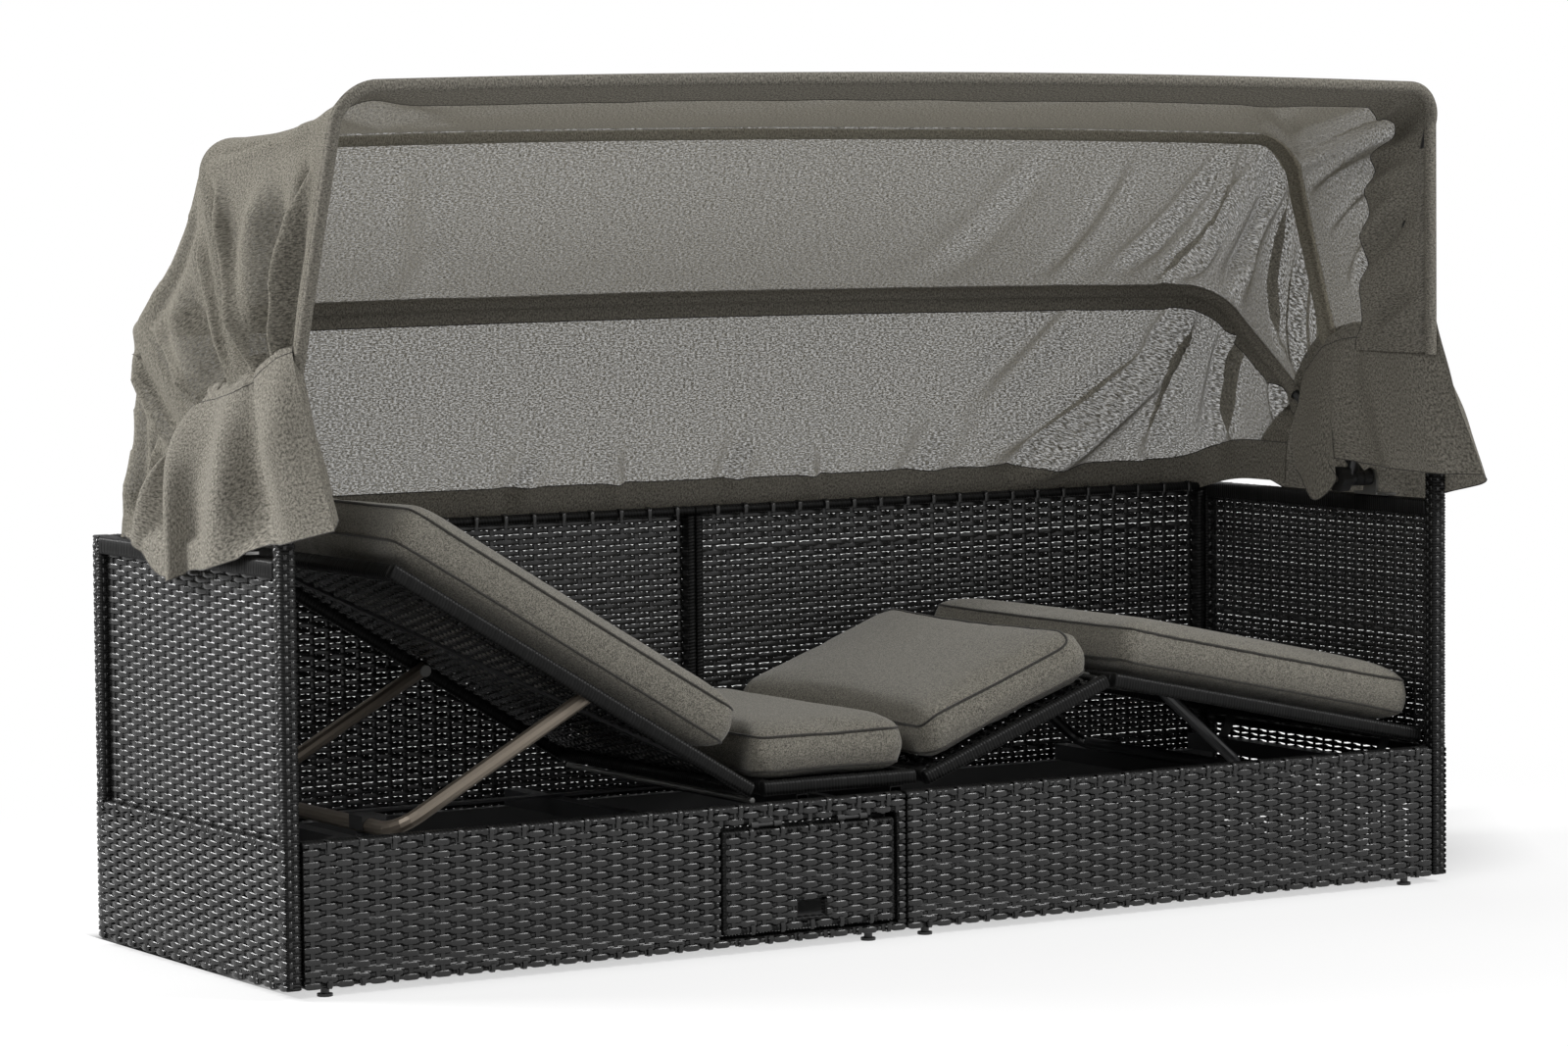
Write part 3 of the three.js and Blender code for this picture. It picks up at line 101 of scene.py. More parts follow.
class Skin:
    """Grids of points gathered into one mesh. Each grid keeps its own tone, and UVs in metres."""

    def __init__(self):
        self.points, self.faces, self.uv, self.tone, self.wraps = [], [], [], [], []
        self.count = 0

    def add(self, grid, tone=0.5, round_columns=False, uv=None, wrap=0):
        grid = np.asarray(grid, float)
        rows, columns = grid.shape[:2]
        index = np.arange(rows * columns).reshape(rows, columns) + self.count
        if round_columns:
            index = np.hstack([index, index[:, :1]])
        corners = (index[:-1, :-1], index[1:, :-1], index[1:, 1:], index[:-1, 1:])
        self.faces.append(np.stack(corners, -1).reshape(-1, 4))
        self.wraps.append(np.full(len(self.faces[-1]), wrap, np.int32))
        if uv is None:
            along = np.linalg.norm(np.diff(grid, axis=0), axis=2).mean(1)
            across = np.linalg.norm(np.diff(grid, axis=1), axis=2).mean(0)
            u = np.concatenate([[0], np.cumsum(along)])
            v = np.concatenate([[0], np.cumsum(across)])
            start = rng.uniform(0, 3)
            uv = np.stack(np.meshgrid(u + start, v, indexing="ij"), -1)
        self.points.append(grid.reshape(-1, 3))
        self.uv.append(np.asarray(uv, float).reshape(-1, 2))
        tone = np.asarray(tone, float)
        shade = np.broadcast_to(tone[:, None] if tone.ndim == 1 else tone, (rows, columns))
        self.tone.append(shade.reshape(-1))
        self.count += rows * columns

    def build(self, name, material):
        points = np.concatenate(self.points)
        faces = np.concatenate(self.faces)
        mesh = bpy.data.meshes.new(name)
        mesh.from_pydata(points.tolist(), [], faces.tolist())
        mesh.shade_smooth()
        layer = mesh.uv_layers.new(name="lay")
        corner = np.empty(len(mesh.loops), np.int32)
        mesh.loops.foreach_get("vertex_index", corner)
        layer.data.foreach_set("uv", np.concatenate(self.uv)[corner].astype(np.float32).ravel())
        tone = mesh.attributes.new("tone", "FLOAT", "POINT")
        tone.data.foreach_set("value", np.concatenate(self.tone).astype(np.float32))
        mesh.materials.append(material)
        wraps = np.concatenate(self.wraps)
        if wraps.any():
            mesh.materials.append(wrapping)
            mesh.polygons.foreach_set("material_index", wraps)
        made = bpy.data.objects.new(name, mesh)
        bpy.context.scene.collection.objects.link(made)
        return made


# Small helpers for node trees
def add(tree, kind, links=(), **settings):
    """A node with its settings, and each named or numbered socket given a value or another node's output."""
    node = tree.nodes.new(kind)
    for key, value in settings.items():
        setattr(node, key, value)
    for socket, source in links:
        target = node.inputs[socket]
        if isinstance(source, bpy.types.NodeSocket):
            tree.links.new(source, target)
        else:
            target.default_value = source
    return node


def calc(tree, operation, *values, **settings):
    return add(tree, "ShaderNodeMath", enumerate(values), operation=operation, **settings).outputs[0]


def scaled(tree, place, factors):
    """A place stretched by a factor along each axis."""
    return add(tree, "ShaderNodeVectorMath", [(0, place), (1, factors)], operation="MULTIPLY").outputs[0]


def noise(tree, place, scale, detail, roughness=0.5):
    return add(tree, "ShaderNodeTexNoise", [
        ("Vector", place), ("Scale", scale), ("Detail", detail), ("Roughness", roughness),
    ]).outputs["Fac"]


def ramp(tree, value, low, high, at_low=0.0, at_high=1.0, **settings):
    return add(tree, "ShaderNodeMapRange", [
        ("Value", value), ("From Min", low), ("From Max", high), ("To Min", at_low), ("To Max", at_high),
    ], **settings).outputs[0]


def mixed_colour(tree, share, first, second):
    return add(tree, "ShaderNodeMix", [("Factor", share), (6, first), (7, second)], data_type="RGBA").outputs[2]


def mixed_shader(tree, share, first, second):
    return add(tree, "ShaderNodeMixShader", [(0, share), (1, first), (2, second)]).outputs[0]


# Shader node groups, each used by more than one material
def new_group(name, inputs, outputs):
    tree = bpy.data.node_groups.new(name, "ShaderNodeTree")
    for label, kind, value in inputs:
        socket = tree.interface.new_socket(label, in_out="INPUT", socket_type="NodeSocket" + kind)
        socket.default_value = value
    for label, kind in outputs:
        tree.interface.new_socket(label, in_out="OUTPUT", socket_type="NodeSocket" + kind)
    return tree, tree.nodes.new("NodeGroupInput").outputs


def put_out(tree, **results):
    end = tree.nodes.new("NodeGroupOutput")
    for label, result in results.items():
        tree.links.new(result, end.inputs[label])
    return tree


def melange_group():
    """Flecked yarn: two colours mixed by fine noise that is drawn out along the yarn, and its height."""
    tree, given = new_group(
        "Melange yarn",
        [
            ("Place", "Vector", (0, 0, 0)),
            ("Light yarn", "Color", (0.3, 0.28, 0.24, 1)),
            ("Dark yarn", "Color", (0.1, 0.095, 0.085, 1)),
            ("Fleck size", "Float", 900.0),
            ("Stretch", "Vector", (1, 1, 1)),
        ],
        [("Colour", "Color"), ("Height", "Float")],
    )
    stretched = scaled(tree, given["Place"], given["Stretch"])
    fine = noise(tree, stretched, given["Fleck size"], 2.0, 0.7)
    broad = noise(tree, stretched, BROAD_FLECK, 4.0)
    both = calc(tree, "MULTIPLY_ADD", broad, 0.38, calc(tree, "MULTIPLY", fine, 0.62))
    colour = mixed_colour(tree, ramp(tree, both, 0.39, 0.61), given["Dark yarn"], given["Light yarn"])
    return put_out(tree, Colour=colour, Height=fine)


def strand_group():
    """Drawn plastic strand: streaks along the strand, and the tone that each strand was given, which on wrapped bars
    also holds painted shade in the grooves between turns.
    """
    tree, given = new_group(
        "Drawn strand",
        [("Dark", "Color", (0.02, 0.021, 0.022, 1)), ("Light", "Color", (0.07, 0.07, 0.068, 1))],
        [("Colour", "Color"), ("Streaks", "Float")],
    )
    along = scaled(tree, add(tree, "ShaderNodeUVMap", uv_map="lay").outputs[0], STREAK_STRETCH)
    streaks = noise(tree, along, 1.0, 3.0)
    tone = add(tree, "ShaderNodeAttribute", attribute_name="tone").outputs["Fac"]
    level = calc(tree, "MULTIPLY_ADD", tone, 0.7, calc(tree, "MULTIPLY", streaks, 0.5))
    return put_out(tree, Colour=mixed_colour(tree, level, given["Dark"], given["Light"]), Streaks=streaks)


def coat_group():
    """Coated metal and moulded plastic: a faint change of tone and of gloss over the surface."""
    tree, given = new_group(
        "Uneven coat",
        [
            ("Colour", "Color", (0.1, 0.1, 0.1, 1)),
            ("Spread", "Float", 0.25),
            ("Gloss", "Float", 0.4),
            ("Grain", "Float", 600.0),
        ],
        [("Colour", "Color"), ("Roughness", "Float"), ("Height", "Float")],
    )
    place = add(tree, "ShaderNodeTexCoord").outputs["Object"]
    swing = calc(tree, "SUBTRACT", noise(tree, place, 14.0, 4.0), 0.5)
    value = calc(tree, "MULTIPLY_ADD", swing, given["Spread"], 1.0)
    shaded = add(tree, "ShaderNodeVectorMath", [(0, given["Colour"]), ("Scale", value)], operation="SCALE")
    rough = calc(tree, "MULTIPLY_ADD", swing, 0.3, given["Gloss"])
    return put_out(tree, Colour=shaded.outputs[0], Roughness=rough, Height=noise(tree, place, given["Grain"], 1.0))


BROAD_FLECK = 330.0
STREAK_STRETCH = (60.0, 1400.0, 1.0)
NET_FLECK = 480.0
GAP_STRETCH = (210.0, 500.0, 1.0)
MELANGE, STRAND, COAT = melange_group(), strand_group(), coat_group()


# Materials
def new_material(name):
    material = bpy.data.materials.new(name)
    material.use_nodes = True
    return material, material.node_tree, material.node_tree.nodes["Principled BSDF"]


def set_shader(shader, **values):
    for label, value in values.items():
        shader.inputs[label.replace("_", " ")].default_value = value


def use_group(tree, group, links):
    return add(tree, "ShaderNodeGroup", links, node_tree=group).outputs


def bumped(tree, shader, height, distance, strength):
    bump = add(tree, "ShaderNodeBump", [("Height", height), ("Distance", distance), ("Strength", strength)])
    tree.links.new(bump.outputs[0], shader.inputs["Normal"])


def surface(tree, shader_output):
    tree.links.new(shader_output, tree.nodes["Material Output"].inputs["Surface"])


def strand_material(name, dark, light, roughness, gloss):
    material, tree, shader = new_material(name)
    strand = use_group(tree, STRAND, [("Dark", dark), ("Light", light)])
    tree.links.new(strand["Colour"], shader.inputs["Base Color"])
    set_shader(shader, Roughness=roughness, Specular_IOR_Level=gloss)
    bumped(tree, shader, strand["Streaks"], 0.0002, 0.6)
    return material


def cover_material(name, light, dark, fleck=900.0):
    material, tree, shader = new_material(name)
    yarn = use_group(tree, MELANGE, [
        ("Place", add(tree, "ShaderNodeTexCoord").outputs["Object"]), ("Light yarn", light), ("Dark yarn", dark),
        ("Fleck size", fleck), ("Stretch", (1, 1, 1)),
    ])
    tree.links.new(yarn["Colour"], shader.inputs["Base Color"])
    set_shader(shader, Roughness=0.92, Specular_IOR_Level=0.15, Sheen_Weight=0.25, Sheen_Roughness=0.5)
    bumped(tree, shader, yarn["Height"], 0.0009, 0.7)
    return material


def coat_material(name, colour, roughness, metallic=0.0):
    material, tree, shader = new_material(name)
    coat = use_group(tree, COAT, [("Colour", colour), ("Gloss", roughness), ("Spread", 0.25)])
    tree.links.new(coat["Colour"], shader.inputs["Base Color"])
    tree.links.new(coat["Roughness"], shader.inputs["Roughness"])
    set_shader(shader, Metallic=metallic)
    bumped(tree, shader, coat["Height"], 0.0001, 0.4)
    return material


def net_material(name, light, dark, open_share, through):
    """Thin canopy cloth: flecked yarn with gaps between the threads, which close when seen at a slant.

    Through is the share of it that glows with the light behind.
    """
    material, tree, shader = new_material(name)
    place = add(tree, "ShaderNodeUVMap", uv_map="lay").outputs[0]
    yarn = use_group(tree, MELANGE, [
        ("Place", place), ("Light yarn", light), ("Dark yarn", dark),
        ("Fleck size", NET_FLECK), ("Stretch", (1.0, 0.6, 1)),
    ])
    tree.links.new(yarn["Colour"], shader.inputs["Base Color"])
    set_shader(shader, Roughness=0.95, Specular_IOR_Level=0.1)
    bumped(tree, shader, yarn["Height"], 0.0007, 0.8)
    thin = add(tree, "ShaderNodeBsdfTranslucent", [("Color", yarn["Colour"])])
    cloth = mixed_shader(tree, through, shader.outputs[0], thin.outputs[0])
    if open_share:
        gaps = noise(tree, scaled(tree, place, GAP_STRETCH), 1.0, 3.0, 0.7)
        spread = ramp(tree, gaps, 0.45, 0.60, 0.0, open_share)
        slant = add(tree, "ShaderNodeLayerWeight", [("Blend", 0.5)]).outputs["Facing"]
        open_ = calc(tree, "MULTIPLY", spread, ramp(tree, slant, 0.20, 0.85, 1.0, 0.0))
        cloth = mixed_shader(tree, open_, cloth, add(tree, "ShaderNodeBsdfTransparent").outputs[0])
    surface(tree, cloth)
    return material


wicker = strand_material("Wicker strand", (0.0012, 0.0012, 0.0014, 1), (0.023, 0.023, 0.0225, 1), 0.27, 0.42)
wrapping = strand_material("Wrapping strand", (0.0012, 0.0012, 0.0013, 1), (0.022, 0.022, 0.0215, 1), 0.36, 0.10)
cover = cover_material("Cushion cover", (0.275, 0.259, 0.217, 1), (0.072, 0.067, 0.056, 1), 660.0)
piping = cover_material("Cushion piping", (0.060, 0.056, 0.048, 1), (0.016, 0.015, 0.013, 1))
net = net_material("Canopy cloth", (0.298, 0.279, 0.235, 1), (0.078, 0.073, 0.060, 1), 0.378, 0.21)
band = net_material("Canopy band", (0.33, 0.31, 0.265, 1), (0.095, 0.089, 0.075, 1), 0.0, 0.20)
# The sleeve round the middle hoop is the bands' cloth painted nearly twice as light, standing in for light that its
# shaded place does not get: painted light
painted_light_sleeve = net_material("Canopy sleeve", (0.60, 0.56, 0.46, 1), (0.21, 0.195, 0.16, 1), 0.0, 0.55)
thread = cover_material("Seam thread", (0.06, 0.055, 0.046, 1), (0.02, 0.018, 0.016, 1))
tube_coat = coat_material("Dark tube coat", (0.012, 0.0125, 0.0135, 1), 0.38)
prop_coat = coat_material("Champagne coat", (0.17, 0.144, 0.115, 1), 0.40, 0.7)
plastic = coat_material("Black plastic", (0.008, 0.008, 0.008, 1), 0.42)
steel = coat_material("Hinge steel", (0.30, 0.30, 0.29, 1), 0.35, 0.9)


# Strands: a double half-round profile, as a share of its width and its rise
FINE = (np.array([-0.5, -0.25, 0.0, 0.25, 0.5]), np.array([-0.5, 1.0, 0.15, 1.0, -0.5]))
PLAIN = (np.array([-0.5, 0.0, 0.5]), np.array([-0.25, 0.9, -0.25]))


def free_spans(low, high, blocked):
    """The parts of low to high that no blocked span covers."""
    spans, at = [], low
    for a, b in sorted(blocked):
        if a > at:
            spans.append((at, min(a, high)))
        at = max(at, b)
    if at < high:
        spans.append((at, high))
    return [s for s in spans if s[1] - s[0] > 0.002]


def weave(skin, origin, across, up, out, width, height, profile=FINE, steps=10, slit=0.0, holes=(), stiff=True):
    """Weft strands over and under straight warps, from origin along across and up.

    Slit opens gaps beside each warp. Stiff strand lies flat over a warp and turns sharply beside it.
    """
    origin, across, up, out = (np.asarray(v, float) for v in (origin, across, up, out))
    warps = max(2, round(width / WARP_PITCH))
    wefts = max(2, round(height / WEFT_PITCH))
    pitch, rise = width / warps, height / wefts
    shares, lifts = profile
    for k in range(wefts):
        v0 = (k + 0.5) * rise
        blocked = [(a, b) for a, b, low, high in holes if low < v0 < high]
        tone = np.clip(rng.normal(0.5, 0.2), 0, 1)
        for start, end in free_spans(0.0, width, blocked):
            count = max(2, round((end - start) / pitch * steps)) + 1
            u = np.linspace(start, end, count)
            wave = np.cos(np.pi * (u / pitch - 0.5) + np.pi * k)
            if slit:
                flank = np.exp(-(((np.abs((u / pitch) % 1 - 0.5) * pitch - SLIT_PLACE) / SLIT_SPREAD) ** 2))
                under = np.clip(0.5 - 0.5 * wave, 0, 1) ** 0.5 * flank * slit
                centre = v0 + rng.normal(0, 0.0002) - under * SLIT_DROP
                wide = WEFT_WIDTH * (1 - 0.22 * under - 0.06 * (1 - wave**2))
            else:
                wave = np.tanh(TURN * wave) if stiff else wave
                centre = v0 + rng.normal(0, ROW_JITTER) + 0 * u
                wide = WEFT_WIDTH * (NARROWEST + (1 - NARROWEST) * np.clip(wave, 0, 1))
            depth = WEAVE_DEPTH * wave
            grid = (
                origin
                + u[:, None, None] * across
                + (centre[:, None] + wide[:, None] * shares)[..., None] * up
                + (depth[:, None] + STRAND_RISE * lifts)[..., None] * out
            )
            skin.add(grid, tone)
    for j in range(warps):
        u0 = (j + 0.5) * pitch
        blocked = [(low, high) for a, b, low, high in holes if a < u0 < b]
        tone = np.clip(rng.normal(0.45, 0.15), 0, 1)
        for start, end in free_spans(0.0, height, blocked):
            count = max(2, round((end - start) / rise * 2)) + 1
            v = np.linspace(start, end, count)
            grid = (
                origin
                + v[:, None, None] * up
                + (u0 + WARP_WIDTH * shares)[None, :, None] * across
                + (-WARP_GIVE * np.cos(np.pi * (v / rise - 0.5 + j))[:, None] + STRAND_RISE * lifts)[..., None] * out
            )
            skin.add(grid, tone)


def rim_loops(skin, start, across, out, up, length, reach=0.016, over=0.010):
    """Short strands that hook over a rim, one beside every second warp."""
    start, across, up, out = (np.asarray(v, float) for v in (start, across, up, out))
    shares, lifts = FINE
    run = np.array([
        [0.0022, -reach], [0.0032, -0.006], [0.0030, -0.0015], [0.0012, 0.0016], [-0.003, 0.0022], [-over, 0.0016],
    ])
    turn = np.array([[1, 0], [1, 0.1], [0.8, 0.6], [0.4, 0.9], [0, 1], [0, 1]])
    for k in range(int(length / LOOP_PITCH)):
        u = (k + 0.75) * LOOP_PITCH + rng.normal(0, 0.0008)
        grid = (
            start
            + (u + WARP_WIDTH * shares)[None, :, None] * across
            + (run[:, :1] + STRAND_RISE * lifts * turn[:, :1])[..., None] * out
            + (run[:, 1:] + STRAND_RISE * lifts * turn[:, 1:])[..., None] * up
        )
        skin.add(grid, np.clip(rng.normal(0.55, 0.15), 0, 1))


def box_section(half_width, half_height, corner):
    """Points round a box with rounded corners, and the way out at each."""
    points, outward = [], []
    for quarter, (sx, sy) in enumerate([(1, 1), (-1, 1), (-1, -1), (1, -1)]):
        for a in np.linspace(0, math.pi / 2, 3):
            angle = quarter * math.pi / 2 + a
            c, s = math.cos(angle), math.sin(angle)
            points.append((sx * (half_width - corner) + corner * c, sy * (half_height - corner) + corner * s))
            outward.append((c, s))
    return np.array(points), np.array(outward)


def coil_bar(skin, start, end, side, half_width, half_height, corner=0.004, pitch=RIDGE_PITCH, slant=0.35):
    """A bar wrapped in strand from start to end: its skin swells at each turn, and its tone is painted darker in the
    grooves between turns.
    """
    start, end = np.asarray(start, float), np.asarray(end, float)
    length = np.linalg.norm(end - start)
    axis = (end - start) / length
    side = unit(np.asarray(side, float) - np.dot(side, axis) * axis)
    up = np.cross(axis, side)
    points, outward = box_section(half_width, half_height, corner)
    turns = max(1, round(length / pitch))
    rings = turns * 4 + 1
    s = np.linspace(0, length, rings)
    around = np.arange(len(points)) / len(points)
    phase = s[:, None] / (length / turns) + slant * np.sin(2 * math.pi * around)[None, :]
    swell = np.abs(np.sin(math.pi * phase)) ** 0.65
    wobble = rng.normal(0, 0.12, turns + 3)[np.clip(np.floor(phase).astype(int) + 1, 0, turns + 2)]
    lift = RIDGE_RISE * (swell * (1 + wobble) - 0.6)
    lift[0], lift[-1] = -RIDGE_RISE, -RIDGE_RISE
    flat = points[None] + outward[None] * lift[..., None]
    grid = start + s[:, None, None] * axis + flat[..., :1] * side + flat[..., 1:] * up
    cap_a = grid[0].mean(0) + (grid[0] - grid[0].mean(0)) * 0.02
    cap_b = grid[-1].mean(0) + (grid[-1] - grid[-1].mean(0)) * 0.02
    grid = np.concatenate([cap_a[None], grid, cap_b[None]])
    # Each turn gets its own random tone, which is then painted darker in the grooves between turns than on their
    # crests: painted shade
    tones = np.clip(rng.normal(0.5, 0.16, turns + 3), 0, 1)
    tone = tones[np.clip((np.arange(rings) // 4), 0, turns + 2)][:, None] * (0.85 * swell - 0.25)
    tone = np.concatenate([tone[:1], tone, tone[-1:]])
    u = np.concatenate([[0], s, [length]])
    v = around * 2 * (half_width + half_height)
    # The strand runs round the bar, so the streaks follow v
    uv = np.stack(np.meshgrid(v, u, indexing="xy"), -1)
    skin.add(grid, tone, round_columns=True, uv=uv, wrap=1)


LACES = 2
LACE_STEP = 0.0138
LACE_SHOWN = 0.62 * LACE_STEP
LACE_WIDTH = 0.0052


def laced_post(skin, low, high):
    """An upright post wrapped in strand and laced by upright strands on each face."""
    low, high = np.asarray(low, float), np.asarray(high, float)
    centre = (low + high) / 2
    half = (high - low) / 2 - 0.0016
    foot = np.array([centre[0], centre[1], low[2]])
    top = np.array([centre[0], centre[1], high[2]])
    coil_bar(skin, foot, top, (1, 0, 0), half[0], half[1], pitch=0.0046, slant=0.0)
    shares, lifts = FINE
    height = high[2] - low[2]
    for out, across, reach, span in facing_sides(half):
        for j in range(LACES):
            u0 = ((j + 0.5) / LACES * 2 - 1) * (span - 0.003)
            at = 0.004 + (j % 2) * LACE_STEP / 2
            while at + LACE_SHOWN < height:
                v = np.linspace(at, at + LACE_SHOWN, 5)
                bulge = np.sin(np.linspace(0, math.pi, 5)) ** 0.6 * 0.0018 - 0.0006
                grid = (
                    foot
                    + v[:, None, None] * Z
                    + (u0 + LACE_WIDTH * shares)[None, :, None] * across
                    + (reach + bulge[:, None] + STRAND_RISE * 0.8 * lifts)[..., None] * out
                )
                skin.add(grid, np.clip(rng.normal(0.36, 0.12), 0, 1))
                at += LACE_STEP


def facing_sides(half):
    """The four sides of an upright post: way out, way across, how far out, half the side's width."""
    return [(-Y, X, half[1], half[0]), (-X, Y, half[0], half[1]), (X, Y, half[0], half[1]), (Y, X, half[1], half[0])]


def node_box(name):
    low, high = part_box(name)
    return np.array(low), np.array(high)


def woven(skin, name, node, body="base"):
    made = skin.build(name, wicker)
    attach(made, body)
    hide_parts(node)


def wrapped_frame(skin, low, high):
    """The four wrapped bars round a panel in the x-z plane."""
    y = (low[1] + high[1]) / 2
    half_y = (high[1] - low[1]) / 2 - 0.0015
    half = RIM / 2 - 0.0008
    for z in (high[2] - RIM / 2, low[2] + RIM / 2):
        coil_bar(skin, (low[0], y, z), (high[0], y, z), Y, half_y, half, corner=0.005)
    for x in (low[0] + RIM / 2, high[0] - RIM / 2):
        coil_bar(skin, (x, y, low[2] + RIM), (x, y, high[2] - RIM), Y, half_y, half)


def front_panel(name, holes=(), rims=()):
    low, high = node_box(name)
    low[0] += FACE_IN
    high[0] -= FACE_IN
    skin = Skin()
    inner = low.copy()
    inner[1] += 0.0035
    wrapped_frame(skin, inner, high)
    weave(skin, (low[0], low[1] + FACE_IN, low[2]), X, Z, -Y, high[0] - low[0], high[2] - low[2] - 0.003, holes=holes)
    rim_loops(skin, (low[0], low[1], high[2] - 0.002), X, -Y, Z, high[0] - low[0])
    rim_loops(skin, (low[0], low[1], low[2] + 0.002), X, -Y, -Z, high[0] - low[0], reach=0.009)
    for a, b in rims:
        coil_bar(skin, a, b, Y, 0.0115, 0.0055)
    woven(skin, name.replace("panel", "weave"), name)


def back_panel(name):
    low, high = node_box(name)
    skin = Skin()
    wrapped_frame(skin, low, high)
    weave(
        skin, (low[0] + 0.006, high[1] - 0.006, low[2] + 0.006), X, Z, -Y,
        high[0] - low[0] - 0.012, high[2] - low[2] - 0.012, profile=PLAIN, steps=8, slit=1.0,
    )
    rim_loops(skin, (low[0], low[1], high[2] - 0.001), X, -Y, Z, high[0] - low[0], reach=0.013)
    woven(skin, name.replace("panel", "weave"), name)


POST = 0.027
SKIRT_TOP = 0.213


def end_panel(name, side):
    low, high = node_box(name)
    outer = low[0] if side < 0 else high[0]
    inner = outer - side * POST
    arm_top = node_box("back_panel_left")[1][2]
    out = side * X
    skin = Skin()
    x0, x1 = min(outer, inner), max(outer, inner)
    laced_post(skin, (x0, low[1], low[2]), (x1, low[1] + POST, high[2]))
    laced_post(skin, (x0, high[1] - POST, low[2]), (x1, high[1], arm_top))
    middle = (outer + inner) / 2
    rail_z = arm_top - POST / 2
    half = POST / 2 - 0.0012
    coil_bar(skin, (middle, low[1] + POST - 0.002, rail_z), (middle, high[1] - POST + 0.002, rail_z), X, half, half)
    foot_z = low[2] + RIM / 2
    edge_x = outer - side * (POST / 2 + 0.002)
    for z in (foot_z, SKIRT_TOP - RIM / 2):
        coil_bar(skin, (edge_x, low[1] + POST, z), (edge_x, high[1] - POST, z), X, 0.0105, 0.006, corner=0.005)
    weave(
        skin, (outer - side * FACE_IN, low[1] + 0.001, low[2]), Y, Z, out,
        high[1] - low[1] - 0.002, SKIRT_TOP - low[2] - 0.002, stiff=False,
    )
    rim_loops(skin, (outer, low[1] + 0.004, SKIRT_TOP - 0.001), Y, out, Z, high[1] - low[1] - 0.01)
    rim_loops(skin, (outer, low[1] + 0.004, low[2] + 0.002), Y, out, -Z, high[1] - low[1] - 0.01)
    sheet_x = outer - side * 0.015
    weave(
        skin, (sheet_x, low[1] + POST - 0.002, SKIRT_TOP - 0.004), Y, Z, -X,
        high[1] - low[1] - 2 * POST + 0.004, arm_top - POST - SKIRT_TOP + 0.008, steps=8, slit=1.0,
    )
    woven(skin, name.replace("panel", "weave"), name)


flap_low, flap_high = node_box("storage_flap")
FLAP_TOP = 0.178
FLAP_GAP = 0.0055
panel_low = node_box("front_panel_left")[0]
door = (
    flap_low[0] - FLAP_GAP - panel_low[0],
    flap_high[0] + FLAP_GAP - panel_low[0],
    flap_low[2] - FLAP_GAP - panel_low[2],
    FLAP_TOP + FLAP_GAP - panel_low[2],
)
door_y = panel_low[1] + 0.0145
door_x0, door_x1 = flap_low[0] - FLAP_GAP - 0.006, flap_high[0] + FLAP_GAP + 0.006
door_top = FLAP_TOP + FLAP_GAP + 0.006
front_panel("front_panel_left", holes=[door], rims=[
    ((door_x0, door_y, flap_low[2]), (door_x0, door_y, door_top)),
    ((door_x1, door_y, flap_low[2]), (door_x1, door_y, door_top)),
    ((door_x0, door_y, door_top), (door_x1, door_y, door_top)),
])
front_panel("front_panel_right")
back_panel("back_panel_left")
back_panel("back_panel_right")
end_panel("end_panel_left", -1)
end_panel("end_panel_right", 1)


# The hand hole: from and to in x, from and to in z
HAND_HOLE = (-0.188, -0.143, 0.046, 0.070)


def storage_flap():
    skin = Skin()
    hole_x0, hole_x1, hole_z0, hole_z1 = HAND_HOLE
    width, height = flap_high[0] - flap_low[0], FLAP_TOP - flap_low[2]
    y = flap_low[1] + 0.0100
    rim = 0.0055
    bar = {"side": Y, "half_width": 0.0085, "half_height": rim - 0.0008, "corner": 0.0045}
    for z in (flap_low[2] + rim, FLAP_TOP - rim):
        coil_bar(skin, (flap_low[0] + 0.001, y, z), (flap_high[0] - 0.001, y, z), **bar)
    for x in (flap_low[0] + rim, flap_high[0] - rim):
        coil_bar(skin, (x, y, flap_low[2] + 0.004), (x, y, FLAP_TOP - 0.004), **bar)
    cut = (hole_x0 - flap_low[0] - 0.008, hole_x1 - flap_low[0] - 0.002,
           hole_z0 - flap_low[2] - 0.006, hole_z1 - flap_low[2])
    weave(skin, (flap_low[0] + 0.005, flap_low[1] + FACE_IN, flap_low[2] + 0.003), X, Z, -Y,
          width - 0.010, height - 0.006, holes=[cut])
    y -= 0.003
    beside = 0.0035
    bar = {"side": Y, "half_width": 0.0065, "half_height": 0.0030, "corner": 0.0025}
    for z in (hole_z0 - beside, hole_z1 + beside):
        coil_bar(skin, (hole_x0 - 2 * beside, y, z), (hole_x1 + 2 * beside, y, z), pitch=0.012, **bar)
    for x in (hole_x0 - beside, hole_x1 + beside):
        coil_bar(skin, (x, y, hole_z0), (x, y, hole_z1), **bar)
    for z, way in ((flap_low[2] + 0.0015, -Z), (FLAP_TOP - 0.0015, Z)):
        rim_loops(skin, (flap_low[0] + 0.01, flap_low[1] - 0.0005, z), X, -Y, way, width - 0.02, 0.012, 0.006)
    woven(skin, "storage_flap_weave", "storage_flap", "storage_flap")


storage_flap()

# Decks: body, pivot place (x, z), slope in degrees, from and to along it, and how high the underside lies over it
DECKS = {
    "seat_deck": ("seat_carriage", (-0.222, 0.216), 0.0, 0.0, 0.260, 0.0),
    "backrest_deck": ("backrest", (-0.238, 0.213), 149.0, 0.010, 0.678, -0.002),
    "thigh_deck": ("thigh_part", (0.38717, 0.35110), 20.8, -0.355, -0.007, -0.014),
    "leg_deck": ("leg_part", (0.966, 0.222), -11.8, -0.586, 0.008, -0.006),
}


def deck_frame(pivot, slope):
    """The way along a deck's side and the way up from it, and its pivot as a point."""
    a = math.radians(slope)
    along = np.array([math.cos(a), 0, math.sin(a)])
    up = np.array([-math.sin(a), 0, math.cos(a)])
    if up[2] < 0:
        up = -up
    return np.array([pivot[0], 0, pivot[1]]), along, up


